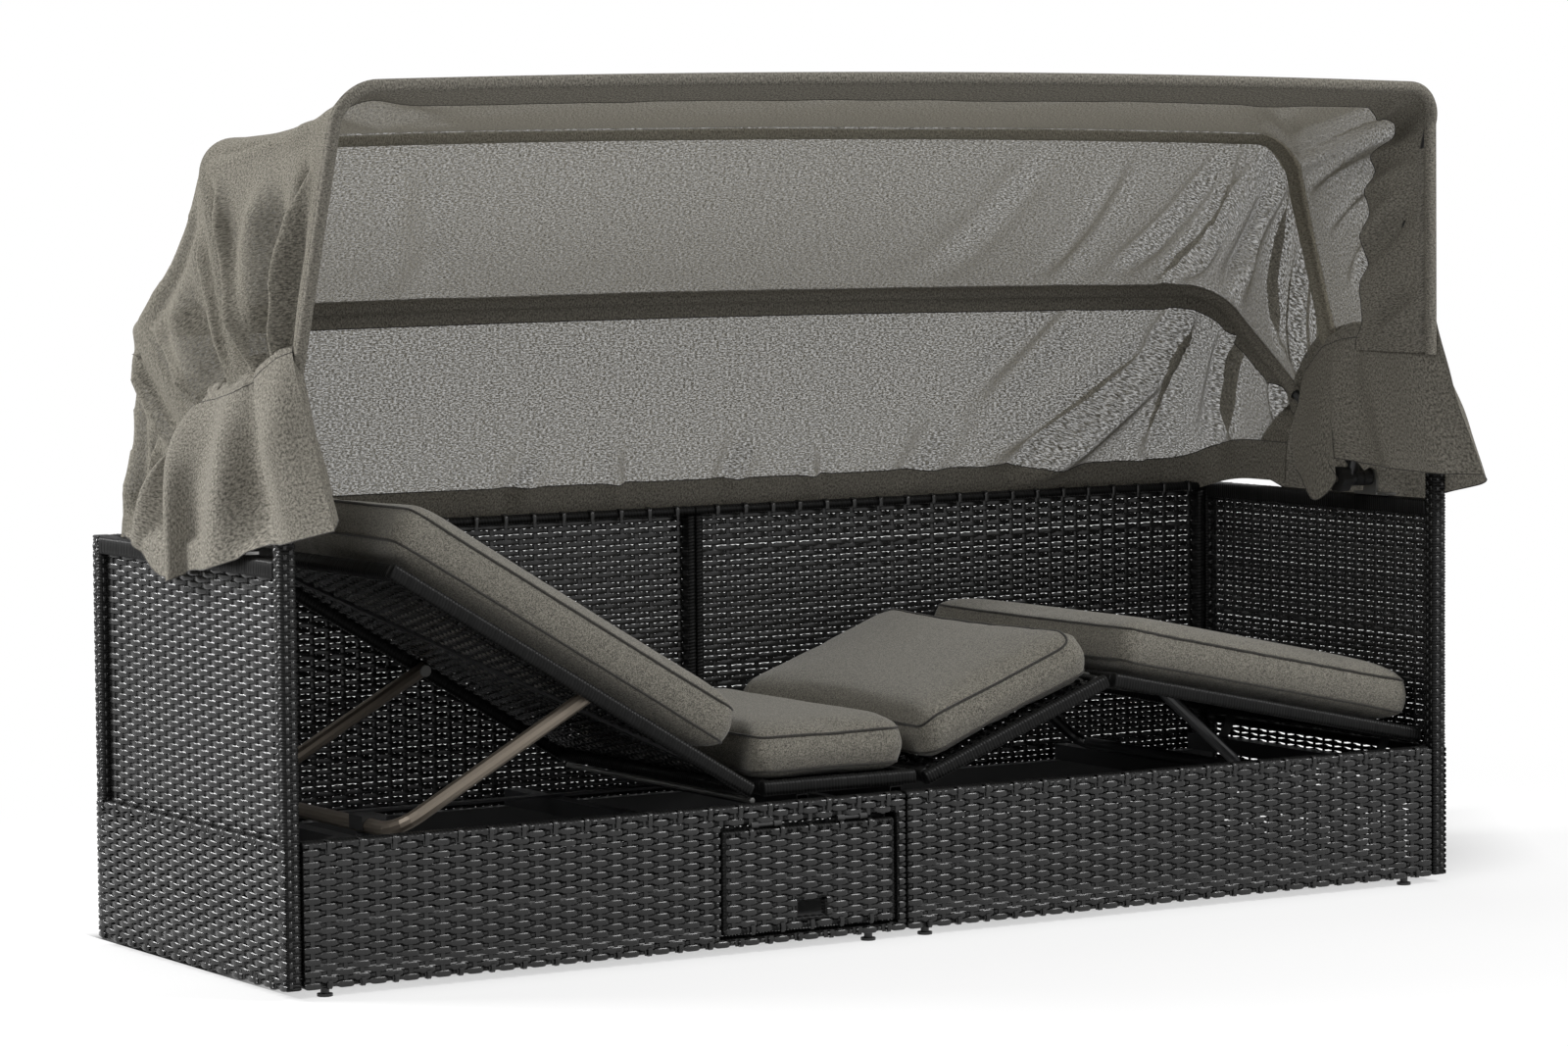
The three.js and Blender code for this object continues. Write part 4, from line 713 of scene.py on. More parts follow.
def deck(name):
    body, pivot, slope, start, end, under = DECKS[name]
    origin, along, up = deck_frame(pivot, slope)
    y0, y1 = DECK_Y
    middle = under + DECK_THICKNESS / 2
    half_t = DECK_THICKNESS / 2 - 0.0018
    half_b = DECK_BORDER / 2 - 0.0018

    def at(s, y, n):
        return origin + s * along + y * Y + n * up

    skin = Skin()
    for y in (y0 + DECK_BORDER / 2, y1 - DECK_BORDER / 2):
        coil_bar(skin, at(start, y, middle), at(end, y, middle), Y, half_b, half_t, corner=0.006)
    for s in (start + DECK_BORDER / 2, end - DECK_BORDER / 2):
        coil_bar(skin, at(s, y0 + DECK_BORDER, middle), at(s, y1 - DECK_BORDER, middle), along, half_b, half_t,
                 corner=0.006)
    inset = DECK_BORDER - MAT_TUCK
    mat_corner = at(start + inset, y0 + inset, under + DECK_THICKNESS - 0.006)
    weave(skin, mat_corner, Y, along, -up, y1 - y0 - 2 * inset, end - start - 2 * inset, profile=PLAIN, steps=6)
    woven(skin, name.replace("deck", "deck_weave"), name, body)


for deck_name in DECKS:
    deck(deck_name)


# Cushions: each one is the CAD cushion blown up as cloth, then piped along its two seams
CUSHIONS = {
    "seat_cushion": "seat_carriage",
    "backrest_cushion": "backrest",
    "thigh_cushion": "thigh_part",
    "leg_cushion": "leg_part",
}
CELL = 0.008
MOST_PUFF = 0.007
PUFF_FRAMES = 20
COVER_CLOTH = {
    "quality": 4,
    "use_pressure": True,
    "uniform_pressure_force": 4.0,
    "tension_stiffness": 20,
    "compression_stiffness": 12,
    "shear_stiffness": 8,
    "bending_stiffness": 1.2,
    "shrink_min": -0.02,
}


def coordinates(mesh):
    out = np.empty(len(mesh.vertices) * 3)
    mesh.vertices.foreach_get("co", out)
    return out.reshape(-1, 3)


def cushion(name, body):
    source = nodes[name]
    made = bpy.data.objects.new(name + "_cover", source.data.copy())
    bpy.context.scene.collection.objects.link(made)
    remesh = made.modifiers.new("cells", "REMESH")
    remesh.mode = "VOXEL"
    remesh.voxel_size = CELL
    bpy.context.view_layer.objects.active = made
    made.select_set(True)
    bpy.ops.object.modifier_apply(modifier="cells")
    rest = coordinates(made.data)
    cloth = made.modifiers.new("puff", "CLOTH")
    cloth.settings.effector_weights.gravity = 0.0
    for setting, value in COVER_CLOTH.items():
        setattr(cloth.settings, setting, value)
    for step in range(1, PUFF_FRAMES + 1):
        bpy.context.scene.frame_set(step)
    bpy.ops.object.modifier_apply(modifier="puff")
    bpy.context.scene.frame_set(1)
    moved = coordinates(made.data) - rest
    length = np.linalg.norm(moved, axis=1, keepdims=True)
    moved *= np.minimum(1, MOST_PUFF / np.maximum(length, 1e-9))
    made.data.vertices.foreach_set("co", (rest + moved).ravel())
    made.select_set(False)
    smooth = made.modifiers.new("ease", "SMOOTH")
    smooth.factor, smooth.iterations = 0.5, 3
    finer = made.modifiers.new("finer", "SUBSURF")
    finer.levels = finer.render_levels = 1
    bpy.context.view_layer.objects.active = made
    bpy.ops.object.modifier_apply(modifier="ease")
    bpy.ops.object.modifier_apply(modifier="finer")
    made.data.materials.clear()
    made.data.materials.append(cover)
    made.data.shade_smooth()
    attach(made, body)
    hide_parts(name)
    return made


covers = {name: cushion(name, body) for name, body in CUSHIONS.items()}


def tube_along(skin, path, radius, sides=6, closed=True):
    """A thin round cord along a path of points."""
    path = np.asarray(path, float)
    ahead = np.roll(path, -1, 0) - np.roll(path, 1, 0) if closed else np.gradient(path, axis=0)
    ahead /= np.linalg.norm(ahead, axis=1, keepdims=True)
    helper = np.where(np.abs(ahead[:, 2:]) > 0.9, X, Z)
    side = np.cross(ahead, helper)
    side /= np.linalg.norm(side, axis=1, keepdims=True)
    up = np.cross(side, ahead)
    angles = np.linspace(0, 2 * math.pi, sides, endpoint=False)
    rings = path[:, None] + radius * (
        np.cos(angles)[None, :, None] * side[:, None] + np.sin(angles)[None, :, None] * up[:, None]
    )
    if closed:
        rings = np.concatenate([rings, rings[:1]])
    skin.add(rings, round_columns=True)


# Each cushion in its deck's own frame: from, to, seam lift, slant at each end; and whether it runs from the far end
CUSHION_CUTS = {
    "seat_cushion": ("seat_deck", -0.014, 0.258, 0.006, 0.008, 0.0, False),
    "backrest_cushion": ("backrest_deck", 0.050, 0.690, 0.024, 0.014, 0.0, False),
    "thigh_cushion": ("thigh_deck", 0.004, 0.344, 0.010, 0.0, -0.030, False),
    "leg_cushion": ("leg_deck", 0.010, 0.590, 0.014, 0.014, 0.0, True),
}
CUSHION_Y = (-0.225, 0.324)
BAND = 0.056
CORNER = 0.026
BULGE = 0.005
CROWN = 0.016
PIPE_RADIUS = 0.0021
PIPE_SPACING = 0.006


def seam_line(name, top):
    """The closed line where a cushion's flat side meets its band."""
    deck_name, x0, x1, lift, slant_low, slant_high, turned = CUSHION_CUTS[name]
    _, pivot, slope, start, end, under = DECKS[deck_name]
    origin, along, up = deck_frame(pivot, slope)
    foot = origin + (end if turned else start) * along + under * up
    way = -along if turned else along
    y0, y1 = CUSHION_Y
    mid = np.array([(x0 + x1) / 2, (y0 + y1) / 2])
    reach = np.array([(x1 - x0) / 2, (y1 - y0) / 2])
    line = []
    for cx, cy, first in (
        (x1 - CORNER, y0 + CORNER, -90), (x1 - CORNER, y1 - CORNER, 0),
        (x0 + CORNER, y1 - CORNER, 90), (x0 + CORNER, y0 + CORNER, 180),
    ):
        for a in np.radians(np.linspace(first, first + 90, 7)):
            line.append((cx + CORNER * math.cos(a), cy + CORNER * math.sin(a)))
    line = np.array(line)
    line = mid + (line - mid) * (1 - BULGE / reach.min())
    ahead = np.roll(line, -1, 0)
    dense = [
        a + (b - a) * t for a, b in zip(line, ahead)
        for t in np.linspace(0, 1, max(1, int(np.linalg.norm(b - a) / PIPE_SPACING)), endpoint=False)
    ]
    flat = np.array(dense)
    height = DECK_THICKNESS + lift + (BAND if top else 0.0)
    rise = (height - DECK_THICKNESS) / (lift + BAND + CROWN)
    to_low = np.maximum(0, (mid[0] - flat[:, 0]) / reach[0])
    to_high = np.maximum(0, (flat[:, 0] - mid[0]) / reach[0])
    x = flat[:, 0] + slant_low * rise * to_low + slant_high * rise * to_high
    return foot + x[:, None] * way + flat[:, 1:] * Y + height * up


def soften_loop(path, rounds=4):
    for _ in range(rounds):
        path = (np.roll(path, 1, 0) + 2 * path + np.roll(path, -1, 0)) / 4
    return path


def pipe_cushion(name, body):
    mesh = covers[name].data
    tree = BVHTree.FromPolygons([v.co for v in mesh.vertices], [p.vertices for p in mesh.polygons])
    skin = Skin()
    for top in (False, True):
        line = seam_line(name, top)
        snapped = []
        for p in line:
            place, normal, _, _ = tree.find_nearest(Vector(p))
            snapped.append(np.array(place) + np.array(normal) * PIPE_RADIUS * 0.45)
        tube_along(skin, soften_loop(np.array(snapped)), PIPE_RADIUS)
    made = skin.build(name + "_piping", piping)
    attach(made, body)


for cushion_name, cushion_body in CUSHIONS.items():
    pipe_cushion(cushion_name, cushion_body)


# Canopy: each hoop's leg place, reach and angle from the front, and the cloth laid over the three
PIVOT = np.array([0, -0.1005, 0.622])
HOOPS = {"front": (0.931, 0.656, 70.1), "middle": (0.9465, 0.575, 109.1), "rear": (0.962, 0.503, 144.4)}
HEM_BACK = 0.3735
HEM_BACK_Z = 0.572
HEM_SIDE_Z = 0.606
LEG_STOPS, CORNER_STOPS, TOP_STOPS = 60, 14, 200
CLOTH_ROWS = 76
# How far the cloth's front edge hangs ahead of the front hoop's right leg at the waist
FRONT_LEAN = 0.128
FOLD_DEPTH = 1.55


class Run:
    """A row of points along a hoop from one waist over the top to the other, and the way out at each.

    Its shares run from -2 at the left waist over -1 and 1 at the corners to 2 at the right waist.
    """

    def __init__(self, leg_x, reach, angle):
        a = math.radians(angle)
        self.radial = np.array([0, -math.cos(a), math.sin(a)])
        top = reach - HOOP_BOW
        leg_top = top - HOOP_BEND
        stops = []

        def bow(x):
            return HOOP_BOW * (1 - (x / leg_x) ** 2)

        def leg(k, side):
            return side * leg_x, WAIST + (leg_top - WAIST) * k / LEG_STOPS, side, 0, side * (2 - k / LEG_STOPS)

        def corner(k, side):
            a = math.pi / 2 * k / CORNER_STOPS
            x = leg_x - HOOP_BEND + HOOP_BEND * math.cos(a)
            r = leg_top + HOOP_BEND * math.sin(a) + max(0, bow(x))
            return side * x, r, side * math.cos(a), math.sin(a), side * (1 - 0.06 * k / CORNER_STOPS)

        stops += [leg(k, -1) for k in range(LEG_STOPS)]
        stops += [corner(k, -1) for k in range(CORNER_STOPS + 1)]
        for k in range(1, TOP_STOPS):
            x = (leg_x - HOOP_BEND) * (2 * k / TOP_STOPS - 1)
            stops.append((x, top + bow(x), 0, 1, 0.94 * (2 * k / TOP_STOPS - 1)))
        stops += [corner(k, 1) for k in range(CORNER_STOPS, -1, -1)]
        stops += [leg(k, 1) for k in range(LEG_STOPS - 1, -1, -1)]
        stops = np.array(stops)
        self.nx, self.nr, self.share = stops[:, 2], stops[:, 3], stops[:, 4]
        self.core = PIVOT + stops[:, :1] * X + stops[:, 1:2] * self.radial
        self.out = self.nx[:, None] * X + self.nr[:, None] * self.radial

    def at(self, out):
        return self.core + self.out * out


runs = {name: Run(*sizes) for name, sizes in HOOPS.items()}
runs["front"].core[:, 1] -= FRONT_LEAN * np.clip(runs["front"].share - 1, 0, 1)


def hem_run():
    """The rear hem: level along the sides, low behind the back panels."""
    run = Run(HOOPS["rear"][0], HEM_BACK - PIVOT[1], 180)
    points = run.at(CLOTH_OUT)
    behind = run.nr > 0.99
    points[:, 1] = np.where(behind, HEM_BACK + 0.002, np.minimum(points[:, 1], HEM_BACK + 0.002))
    ease = np.clip((points[:, 1] - 0.20) / (HEM_BACK - 0.20), 0, 1) ** 2
    points[:, 2] = HEM_SIDE_Z + (HEM_BACK_Z - HEM_SIDE_Z) * ease
    return points


def smooth_noise(u, v, waves, seed, slowest=2, fastest=16):
    """A sum of waves over the cloth, from about -1 to 1."""
    r = np.random.default_rng(seed)
    total = np.zeros_like(u)
    for _ in range(waves):
        a, b = r.uniform(slowest, fastest, 2)
        slant = r.uniform(-0.7, 0.7)
        total += np.sin(a * (u + slant * v) + r.uniform(0, 6.3)) * np.sin(b * (v - slant * u) + r.uniform(0, 6.3))
    return total / math.sqrt(waves)


def fold_shape(s):
    """Across a fold: a crest, and a hollow on one side where the cloth turns under."""
    return np.exp(-(s**2)) - 0.75 * np.exp(-(((s - 1.5) / 0.8) ** 2))


def cloth_panel(a, b, sag_top, sag_side, folds, seed, wrinkle=0.0016):
    """Cloth from run a to run b, sagging between them. Each fold runs through places on the panel."""
    nx = a["nx"][:, None, None]
    nr = a["nr"][:, None, None]
    start, end = a["points"][:, None], b["points"][:, None]
    t = np.linspace(0, 1, CLOTH_ROWS)[None, :, None]
    chord = end - start
    chord[..., 0] = 0
    span = np.linalg.norm(chord, axis=2, keepdims=True)
    normal = np.stack([np.zeros_like(chord[..., 0]), -chord[..., 2], chord[..., 1]], -1) / span
    normal = np.where((normal @ a["radial"])[..., None] < 0, -normal, normal)
    out = nx * X + nr * normal
    out = out / np.linalg.norm(out, axis=2, keepdims=True)
    grid = start + (end - start) * t
    hang = np.sin(math.pi * t)
    share = span / span.max()
    grid = grid - out * hang * (sag_top * nr + sag_side * np.abs(nx)) * share
    columns = np.concatenate([[0], np.cumsum(np.linalg.norm(np.diff(a["points"], axis=0), axis=1))])
    u = np.repeat(columns[:, None], CLOTH_ROWS, 1)
    v = t[0, :, 0][None] * span[:, 0, 0][:, None]
    flat = grid.copy()
    last_j = CLOTH_ROWS - 1
    edge = np.clip(np.minimum(t, 1 - t) * 14, 0, 1)
    inward = np.clip(np.minimum(t, 1 - t) * span / 0.045, 0, 1)[..., 0] ** 1.5
    rows = np.arange(len(columns))

    def spot(place):
        i, j = np.interp(place[0], a["share"], rows), place[1] * last_j
        i0, j0 = int(min(i, len(rows) - 2)), int(min(j, last_j - 1))
        here = flat[i0, j0]
        return here + (flat[i0 + 1, j0] - here) * (i - i0) + (flat[i0, j0 + 1] - here) * (j - j0)

    for places, width, depth in folds:
        way = [spot(p) for p in places]
        best = np.full(flat.shape[:2], 1e9)
        lift = np.zeros(flat.shape[:2])
        for k, (p, q) in enumerate(zip(way, way[1:])):
            d = q - p
            along = np.clip(((flat - p) @ d) / (d @ d), 0, 1)
            offset = flat - (p + along[..., None] * d)
            away = np.linalg.norm(offset, axis=2)
            turned = np.sign(np.einsum("ijk,ijk->ij", offset, np.cross(out[:, :1] * np.ones_like(flat), d)))
            done = (k + along) / (len(way) - 1)
            wide = width * (0.75 + 0.5 * done)
            fade = np.clip(done * 3.5 + 0.05, 0, 1) * np.clip((1.08 - done) * 3.5, 0, 1)
            here = fade * fold_shape(away * turned / wide)
            lift = np.where(away < best, here, lift)
            best = np.minimum(best, away)
        push = FOLD_DEPTH * depth * lift
        grid = grid + out * np.where(push < 0, push * inward, push)[..., None] * edge
    grid = grid + out * (wrinkle * smooth_noise(u, v, 9, seed))[..., None] * edge
    grid = grid + out * (0.0006 * smooth_noise(u, v, 9, seed + 50, 25, 60))[..., None] * edge
    return grid, np.stack([u, v], -1), out


def run_as(run):
    return {"points": run.at(CLOTH_OUT), "nx": run.nx, "nr": run.nr, "radial": run.radial, "share": run.share}


# Folds as (places by share of the run and of the depth), width, height: drawn from the hoops' corners
FRONT_FOLDS = [
    ([(-1.02, 0.94), (-1.30, 0.915), (-1.60, 0.87), (-1.95, 0.80)], 0.015, -0.024),
    ([(-0.985, 0.96), (-0.98, 0.50), (-0.985, 0.10)], 0.013, 0.010),
    ([(-1.08, 0.55), (-1.40, 0.62), (-1.92, 0.62)], 0.034, 0.016),
    ([(-1.10, 0.16), (-1.30, 0.27), (-1.60, 0.40), (-1.92, 0.46)], 0.016, -0.022),
    ([(-1.25, 0.10), (-1.60, 0.22), (-1.95, 0.30)], 0.013, 0.012),
    ([(-0.97, 0.10), (-0.72, 0.55)], 0.028, 0.008),
    ([(0.985, 0.97), (0.955, 0.12)], 0.015, -0.013),
    ([(1.10, 0.92), (0.99, 0.16)], 0.016, 0.013),
    ([(1.35, 0.80), (1.09, 0.15)], 0.013, 0.009),
    ([(1.66, 0.68), (1.28, 0.14)], 0.015, -0.013),
    ([(1.92, 0.46), (1.72, 0.10)], 0.013, 0.010),
    ([(0.95, 0.92), (0.74, 0.40)], 0.024, 0.009),
]
TOP_FOLDS = [
    ([(-1.05, 0.22), (-1.40, 0.28), (-1.92, 0.36)], 0.020, -0.016),
    ([(-1.10, 0.60), (-1.45, 0.62), (-1.92, 0.62)], 0.026, 0.015),
    ([(-1.06, 0.90), (-1.45, 0.86), (-1.92, 0.84)], 0.014, -0.015),
    ([(-0.985, 0.06), (-0.98, 0.50), (-0.985, 0.94)], 0.014, 0.008),
    ([(-0.95, 0.10), (-0.80, 0.75)], 0.020, 0.010),
    ([(0.965, 0.06), (0.930, 0.94)], 0.013, -0.017),
    ([(0.930, 0.08), (0.893, 0.96)], 0.011, 0.013),
    ([(0.90, 0.10), (0.80, 0.85)], 0.016, -0.010),
    ([(0.99, 0.04), (1.00, 0.86)], 0.015, 0.018),
    ([(1.06, 0.05), (1.35, 0.45), (1.62, 0.70)], 0.011, -0.014),
    ([(1.36, 0.04), (1.70, 0.42), (1.97, 0.74)], 0.010, 0.013),
    ([(1.72, 0.04), (1.96, 0.24)], 0.009, -0.010),
    ([(0.72, 0.14), (0.68, 0.92)], 0.022, 0.007),
    ([(0.55, 0.10), (0.44, 0.90)], 0.030, -0.005),
    ([(-0.62, 0.12), (-0.50, 0.90)], 0.030, 0.005),
]
BACK_FOLDS = [
    ([(-0.99, 0.08), (-1.35, 0.18), (-1.72, 0.26)], 0.018, 0.016),
    ([(-0.97, 0.20), (-0.985, 0.88)], 0.020, 0.012),
    ([(-1.30, 0.36), (-1.14, 0.88)], 0.018, -0.013),
    ([(-0.93, 0.06), (-0.78, 0.88)], 0.022, -0.012),
    ([(0.960, 0.04), (0.875, 0.44), (0.66, 0.93)], 0.020, -0.024),
    ([(0.955, 0.16), (0.905, 0.76)], 0.015, 0.016),
    ([(0.985, 0.07), (0.78, 0.56), (0.60, 0.86)], 0.022, 0.015),
    ([(1.14, 0.05), (1.20, 0.66)], 0.012, -0.016),
    ([(1.05, 0.04), (1.02, 0.80)], 0.014, 0.014),
    ([(1.64, 0.05), (1.92, 0.33)], 0.010, 0.011),
    ([(0.74, 0.06), (0.56, 0.56)], 0.026, 0.010),
    ([(0.40, 0.93), (0.47, 0.60)], 0.022, 0.008),
    ([(0.05, 0.95), (0.09, 0.62)], 0.016, 0.007),
    ([(-0.12, 0.95), (-0.15, 0.64)], 0.016, -0.006),
    ([(-0.34, 0.95), (-0.30, 0.66)], 0.018, 0.006),
    ([(0.25, 0.96), (0.22, 0.72)], 0.014, -0.006),
]


def smooth_area(grid):
    """The area of a grid of points, as its four-sided cells."""
    a = np.cross(grid[1:, :-1] - grid[:-1, :-1], grid[:-1, 1:] - grid[:-1, :-1])
    b = np.cross(grid[:-1, 1:] - grid[1:, 1:], grid[1:, :-1] - grid[1:, 1:])
    return (np.linalg.norm(a, axis=2).sum() + np.linalg.norm(b, axis=2).sum()) / 2


def declare_sheet(grid, uv):
    """Works out a sheet's flat cut, its longest run by its deepest place, and keeps nothing of it."""
    width = round(float(uv[..., 0].max() - uv[..., 0].min()) + 0.01, 2)
    length = round(float(np.linalg.norm(np.diff(grid, axis=1), axis=2).sum(1).max()) + 0.005, 2)
    area = smooth_area(grid)
    if area > width * length:
        length = round(area / width + 0.005, 2)


def cloth_piece(name, grid, uv, material, node, bodies, places):
    skin = Skin()
    skin.add(grid, 0.5, uv=uv)
    made = skin.build(name, material)
    if places is None:
        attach(made, bodies)
    else:
        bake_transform(made)
    if node:
        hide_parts(node)
    declare_sheet(grid, uv)
    return made


def hoop_place(name, share=0.55):
    return tuple(PIVOT + runs[name].radial * HOOPS[name][1] * share)


front, middle, rear = (run_as(runs[n]) for n in ("front", "middle", "rear"))
hem = {"points": hem_run()}
panel_front, uv_front, out_front = cloth_panel(front, middle, 0.020, 0.022, FRONT_FOLDS, 3)
panel_top, uv_top, out_top = cloth_panel(middle, rear, 0.020, 0.024, TOP_FOLDS, 5)
panel_back, uv_back, out_back = cloth_panel(rear, hem, 0.014, 0.020, BACK_FOLDS, 9, wrinkle=0.0022)

front_places = (hoop_place("middle"), hoop_place("front"))
top_places = (hoop_place("rear"), hoop_place("middle"))
back_places = ((0, HEM_BACK, HEM_SIDE_Z), hoop_place("rear", 0.9))
cloth_piece("canopy_front_panel", panel_front, uv_front, net, "canopy_cloth_front",
            ("canopy_middle", "canopy_front"), front_places)
cloth_piece("canopy_top_panel", panel_top, uv_top, net, "canopy_cloth_top",
            ("canopy_rear", "canopy_middle"), top_places)
cloth_piece("canopy_back_panel", panel_back, uv_back, net, "canopy_cloth_back",
            ("base", "canopy_rear"), back_places)


def wrap_under(run, first, last, stops=9):
    """Rows round a hoop's tube, from one angle to another: 90 is the outside, 0 towards the back."""
    back = np.cross(X, run.radial)
    if back[1] < 0:
        back = -back
    angles = np.radians(np.linspace(first, last, stops))
    return (
        run.core[:, None]
        + BAND_RADIUS * np.cos(angles)[None, :, None] * back
        + BAND_RADIUS * np.sin(angles)[None, :, None] * run.out[:, None]
    )


def inner_band(grid, out, width, from_start, gap=0.0026, begin=0.0):
    """The part of a panel next to one of its edges, moved inwards, for a doubled band."""
    rows = grid if from_start else grid[:, ::-1]
    outs = out if from_start else out[:, ::-1]
    steps = np.linalg.norm(np.diff(rows, axis=1), axis=2)
    depth = np.concatenate([np.zeros((len(rows), 1)), np.cumsum(steps, axis=1)], axis=1)
    cut = np.linspace(0, 1, 11)
    width = np.broadcast_to(width, len(rows))
    gap = np.broadcast_to(gap, len(rows))
    made = np.empty((len(rows), len(cut), 3))
    for i in range(len(rows)):
        wide = min(width[i], depth[i, -1] * 0.62)
        places = begin + cut * max(wide - begin, 0.002)
        for axis in range(3):
            made[i, :, axis] = np.interp(places, depth[i], rows[i, :, axis])
    return made - outs[:, :1] * gap[:, None, None]


def band_piece(name, grid, bodies, places, node=None, material=band):
    widths = np.concatenate([[0], np.cumsum(np.linalg.norm(np.diff(grid, axis=1), axis=2).mean(0))])
    columns = np.concatenate([[0], np.cumsum(np.linalg.norm(np.diff(grid[:, 0], axis=0), axis=1))])
    uv = np.stack(np.meshgrid(columns, widths, indexing="ij"), -1)
    return cloth_piece(name, grid, uv, material, node, bodies, places)


# On the right side the front band also hides the hoop's leg, behind the edge that hangs ahead of it
right_leg = np.clip(front["share"] - 1, 0, 1)
front_band = np.concatenate([
    wrap_under(runs["front"], 80, 350, stops=12),
    inner_band(panel_front, out_front, 0.115 + 0.050 * right_leg, True,
               gap=0.0030 + 0.0180 * np.clip(right_leg * 6, 0, 1), begin=BAND_START),
], axis=1)
band_piece("canopy_front_band", front_band, ("canopy_middle", "canopy_front"), front_places)
on_sides = np.abs(front["nx"])
middle_band = np.concatenate([
    inner_band(panel_front, out_front, 0.013 + 0.010 * on_sides, False, begin=BAND_START)[:, ::-1],
    wrap_under(runs["middle"], 188, 352, stops=9),
    inner_band(panel_top, out_top, 0.013 + 0.010 * on_sides, True, begin=BAND_START),
], axis=1)
# Its cloth is painted lighter than the other bands: painted light
band_piece("canopy_middle_band", middle_band, "canopy_middle", None, material=painted_light_sleeve)
rear_band = np.concatenate([
    inner_band(panel_top, out_top, 0.013, False, begin=BAND_START)[:, ::-1],
    wrap_under(runs["rear"], 188, 352, stops=9),
    inner_band(panel_back, out_back, 0.034, True, begin=BAND_START),
], axis=1)
band_piece("canopy_rear_band", rear_band, "canopy_rear", None)
hem_band = inner_band(panel_back, out_back, 0.066, False)
band_piece("canopy_hem_band", hem_band, ("base", "canopy_rear"), back_places)


# Skirts hang from the waist in flutes. Each column of four places runs down a crest or a hollow, from the
# front to the back: distance from the middle of the bed, then y and z
LEFT_OUTER = [
    [(0.942, -0.189, 0.872), (0.947, -0.233, 0.800), (0.958, -0.295, 0.720), (0.973, -0.369, 0.640)],
    [(0.956, -0.156, 0.860), (0.985, -0.213, 0.790), (1.000, -0.269, 0.712), (1.008, -0.336, 0.628)],
    [(0.962, -0.116, 0.836), (0.990, -0.176, 0.770), (1.008, -0.236, 0.705), (1.020, -0.301, 0.620)],
    [(0.955, -0.091, 0.828), (0.962, -0.116, 0.765), (0.968, -0.151, 0.700), (0.976, -0.209, 0.612)],
    [(0.968, -0.051, 0.812), (1.002, -0.081, 0.750), (1.024, -0.111, 0.680), (1.030, -0.101, 0.577)],
    [(0.962, 0.009, 0.803), (0.984, -0.006, 0.740), (0.994, -0.001, 0.680), (1.000, 0.005, 0.566)],
    [(0.972, 0.069, 0.790), (1.010, 0.061, 0.738), (1.030, 0.043, 0.680), (1.034, 0.030, 0.551)],
    [(0.962, 0.084, 0.760), (0.972, 0.104, 0.715), (0.978, 0.118, 0.650), (0.984, 0.114, 0.556)],
    [(0.972, 0.095, 0.745), (0.998, 0.135, 0.705), (1.014, 0.165, 0.655), (1.016, 0.175, 0.590)],
    [(0.966, 0.099, 0.730), (0.975, 0.160, 0.700), (0.978, 0.196, 0.660), (0.982, 0.226, 0.604)],
]
RIGHT_OUTER = [
    [(0.941, -0.299, 0.886), (0.947, -0.325, 0.800), (0.959, -0.351, 0.720), (0.973, -0.377, 0.640)],
    [(0.952, -0.241, 0.872), (0.985, -0.266, 0.790), (1.004, -0.296, 0.712), (1.012, -0.329, 0.622)],
    [(0.958, -0.191, 0.852), (0.975, -0.206, 0.780), (0.985, -0.223, 0.700), (0.994, -0.251, 0.606)],
    [(0.962, -0.136, 0.842), (0.995, -0.146, 0.765), (1.016, -0.156, 0.690), (1.024, -0.173, 0.588)],
    [(0.960, -0.081, 0.838), (0.978, -0.086, 0.755), (0.988, -0.091, 0.680), (0.994, -0.096, 0.578)],
    [(0.966, -0.026, 0.828), (1.000, -0.026, 0.745), (1.020, -0.021, 0.670), (1.028, -0.021, 0.566)],
    [(0.964, 0.024, 0.808), (0.980, 0.039, 0.735), (0.990, 0.049, 0.665), (0.996, 0.054, 0.562)],
    [(0.970, 0.069, 0.770), (1.000, 0.099, 0.715), (1.016, 0.119, 0.655), (1.022, 0.129, 0.580)],
    [(0.966, 0.094, 0.732), (0.975, 0.154, 0.700), (0.980, 0.194, 0.662), (0.984, 0.227, 0.610)],
]
RIGHT_INNER = [
    [(0.940, -0.298, 0.886), (0.946, -0.323, 0.800), (0.958, -0.349, 0.720), (0.972, -0.375, 0.640)],
    [(0.925, -0.256, 0.868), (0.922, -0.269, 0.790), (0.924, -0.291, 0.715), (0.932, -0.313, 0.640)],
    [(0.922, -0.166, 0.848), (0.912, -0.189, 0.780), (0.904, -0.213, 0.710), (0.900, -0.247, 0.646)],
    [(0.924, -0.121, 0.844), (0.917, -0.139, 0.770), (0.915, -0.159, 0.700), (0.914, -0.179, 0.648)],
    [(0.926, -0.086, 0.840), (0.907, -0.096, 0.770), (0.899, -0.101, 0.710), (0.896, -0.099, 0.654)],
    [(0.930, -0.061, 0.834), (0.909, -0.081, 0.765), (0.900, -0.097, 0.695), (0.896, -0.111, 0.622)],
    [(0.938, -0.023, 0.824), (0.918, -0.036, 0.750), (0.905, -0.043, 0.680), (0.899, -0.056, 0.588)],
    [(0.952, 0.039, 0.786), (0.930, 0.027, 0.735), (0.916, 0.021, 0.690), (0.908, 0.007, 0.632)],
]
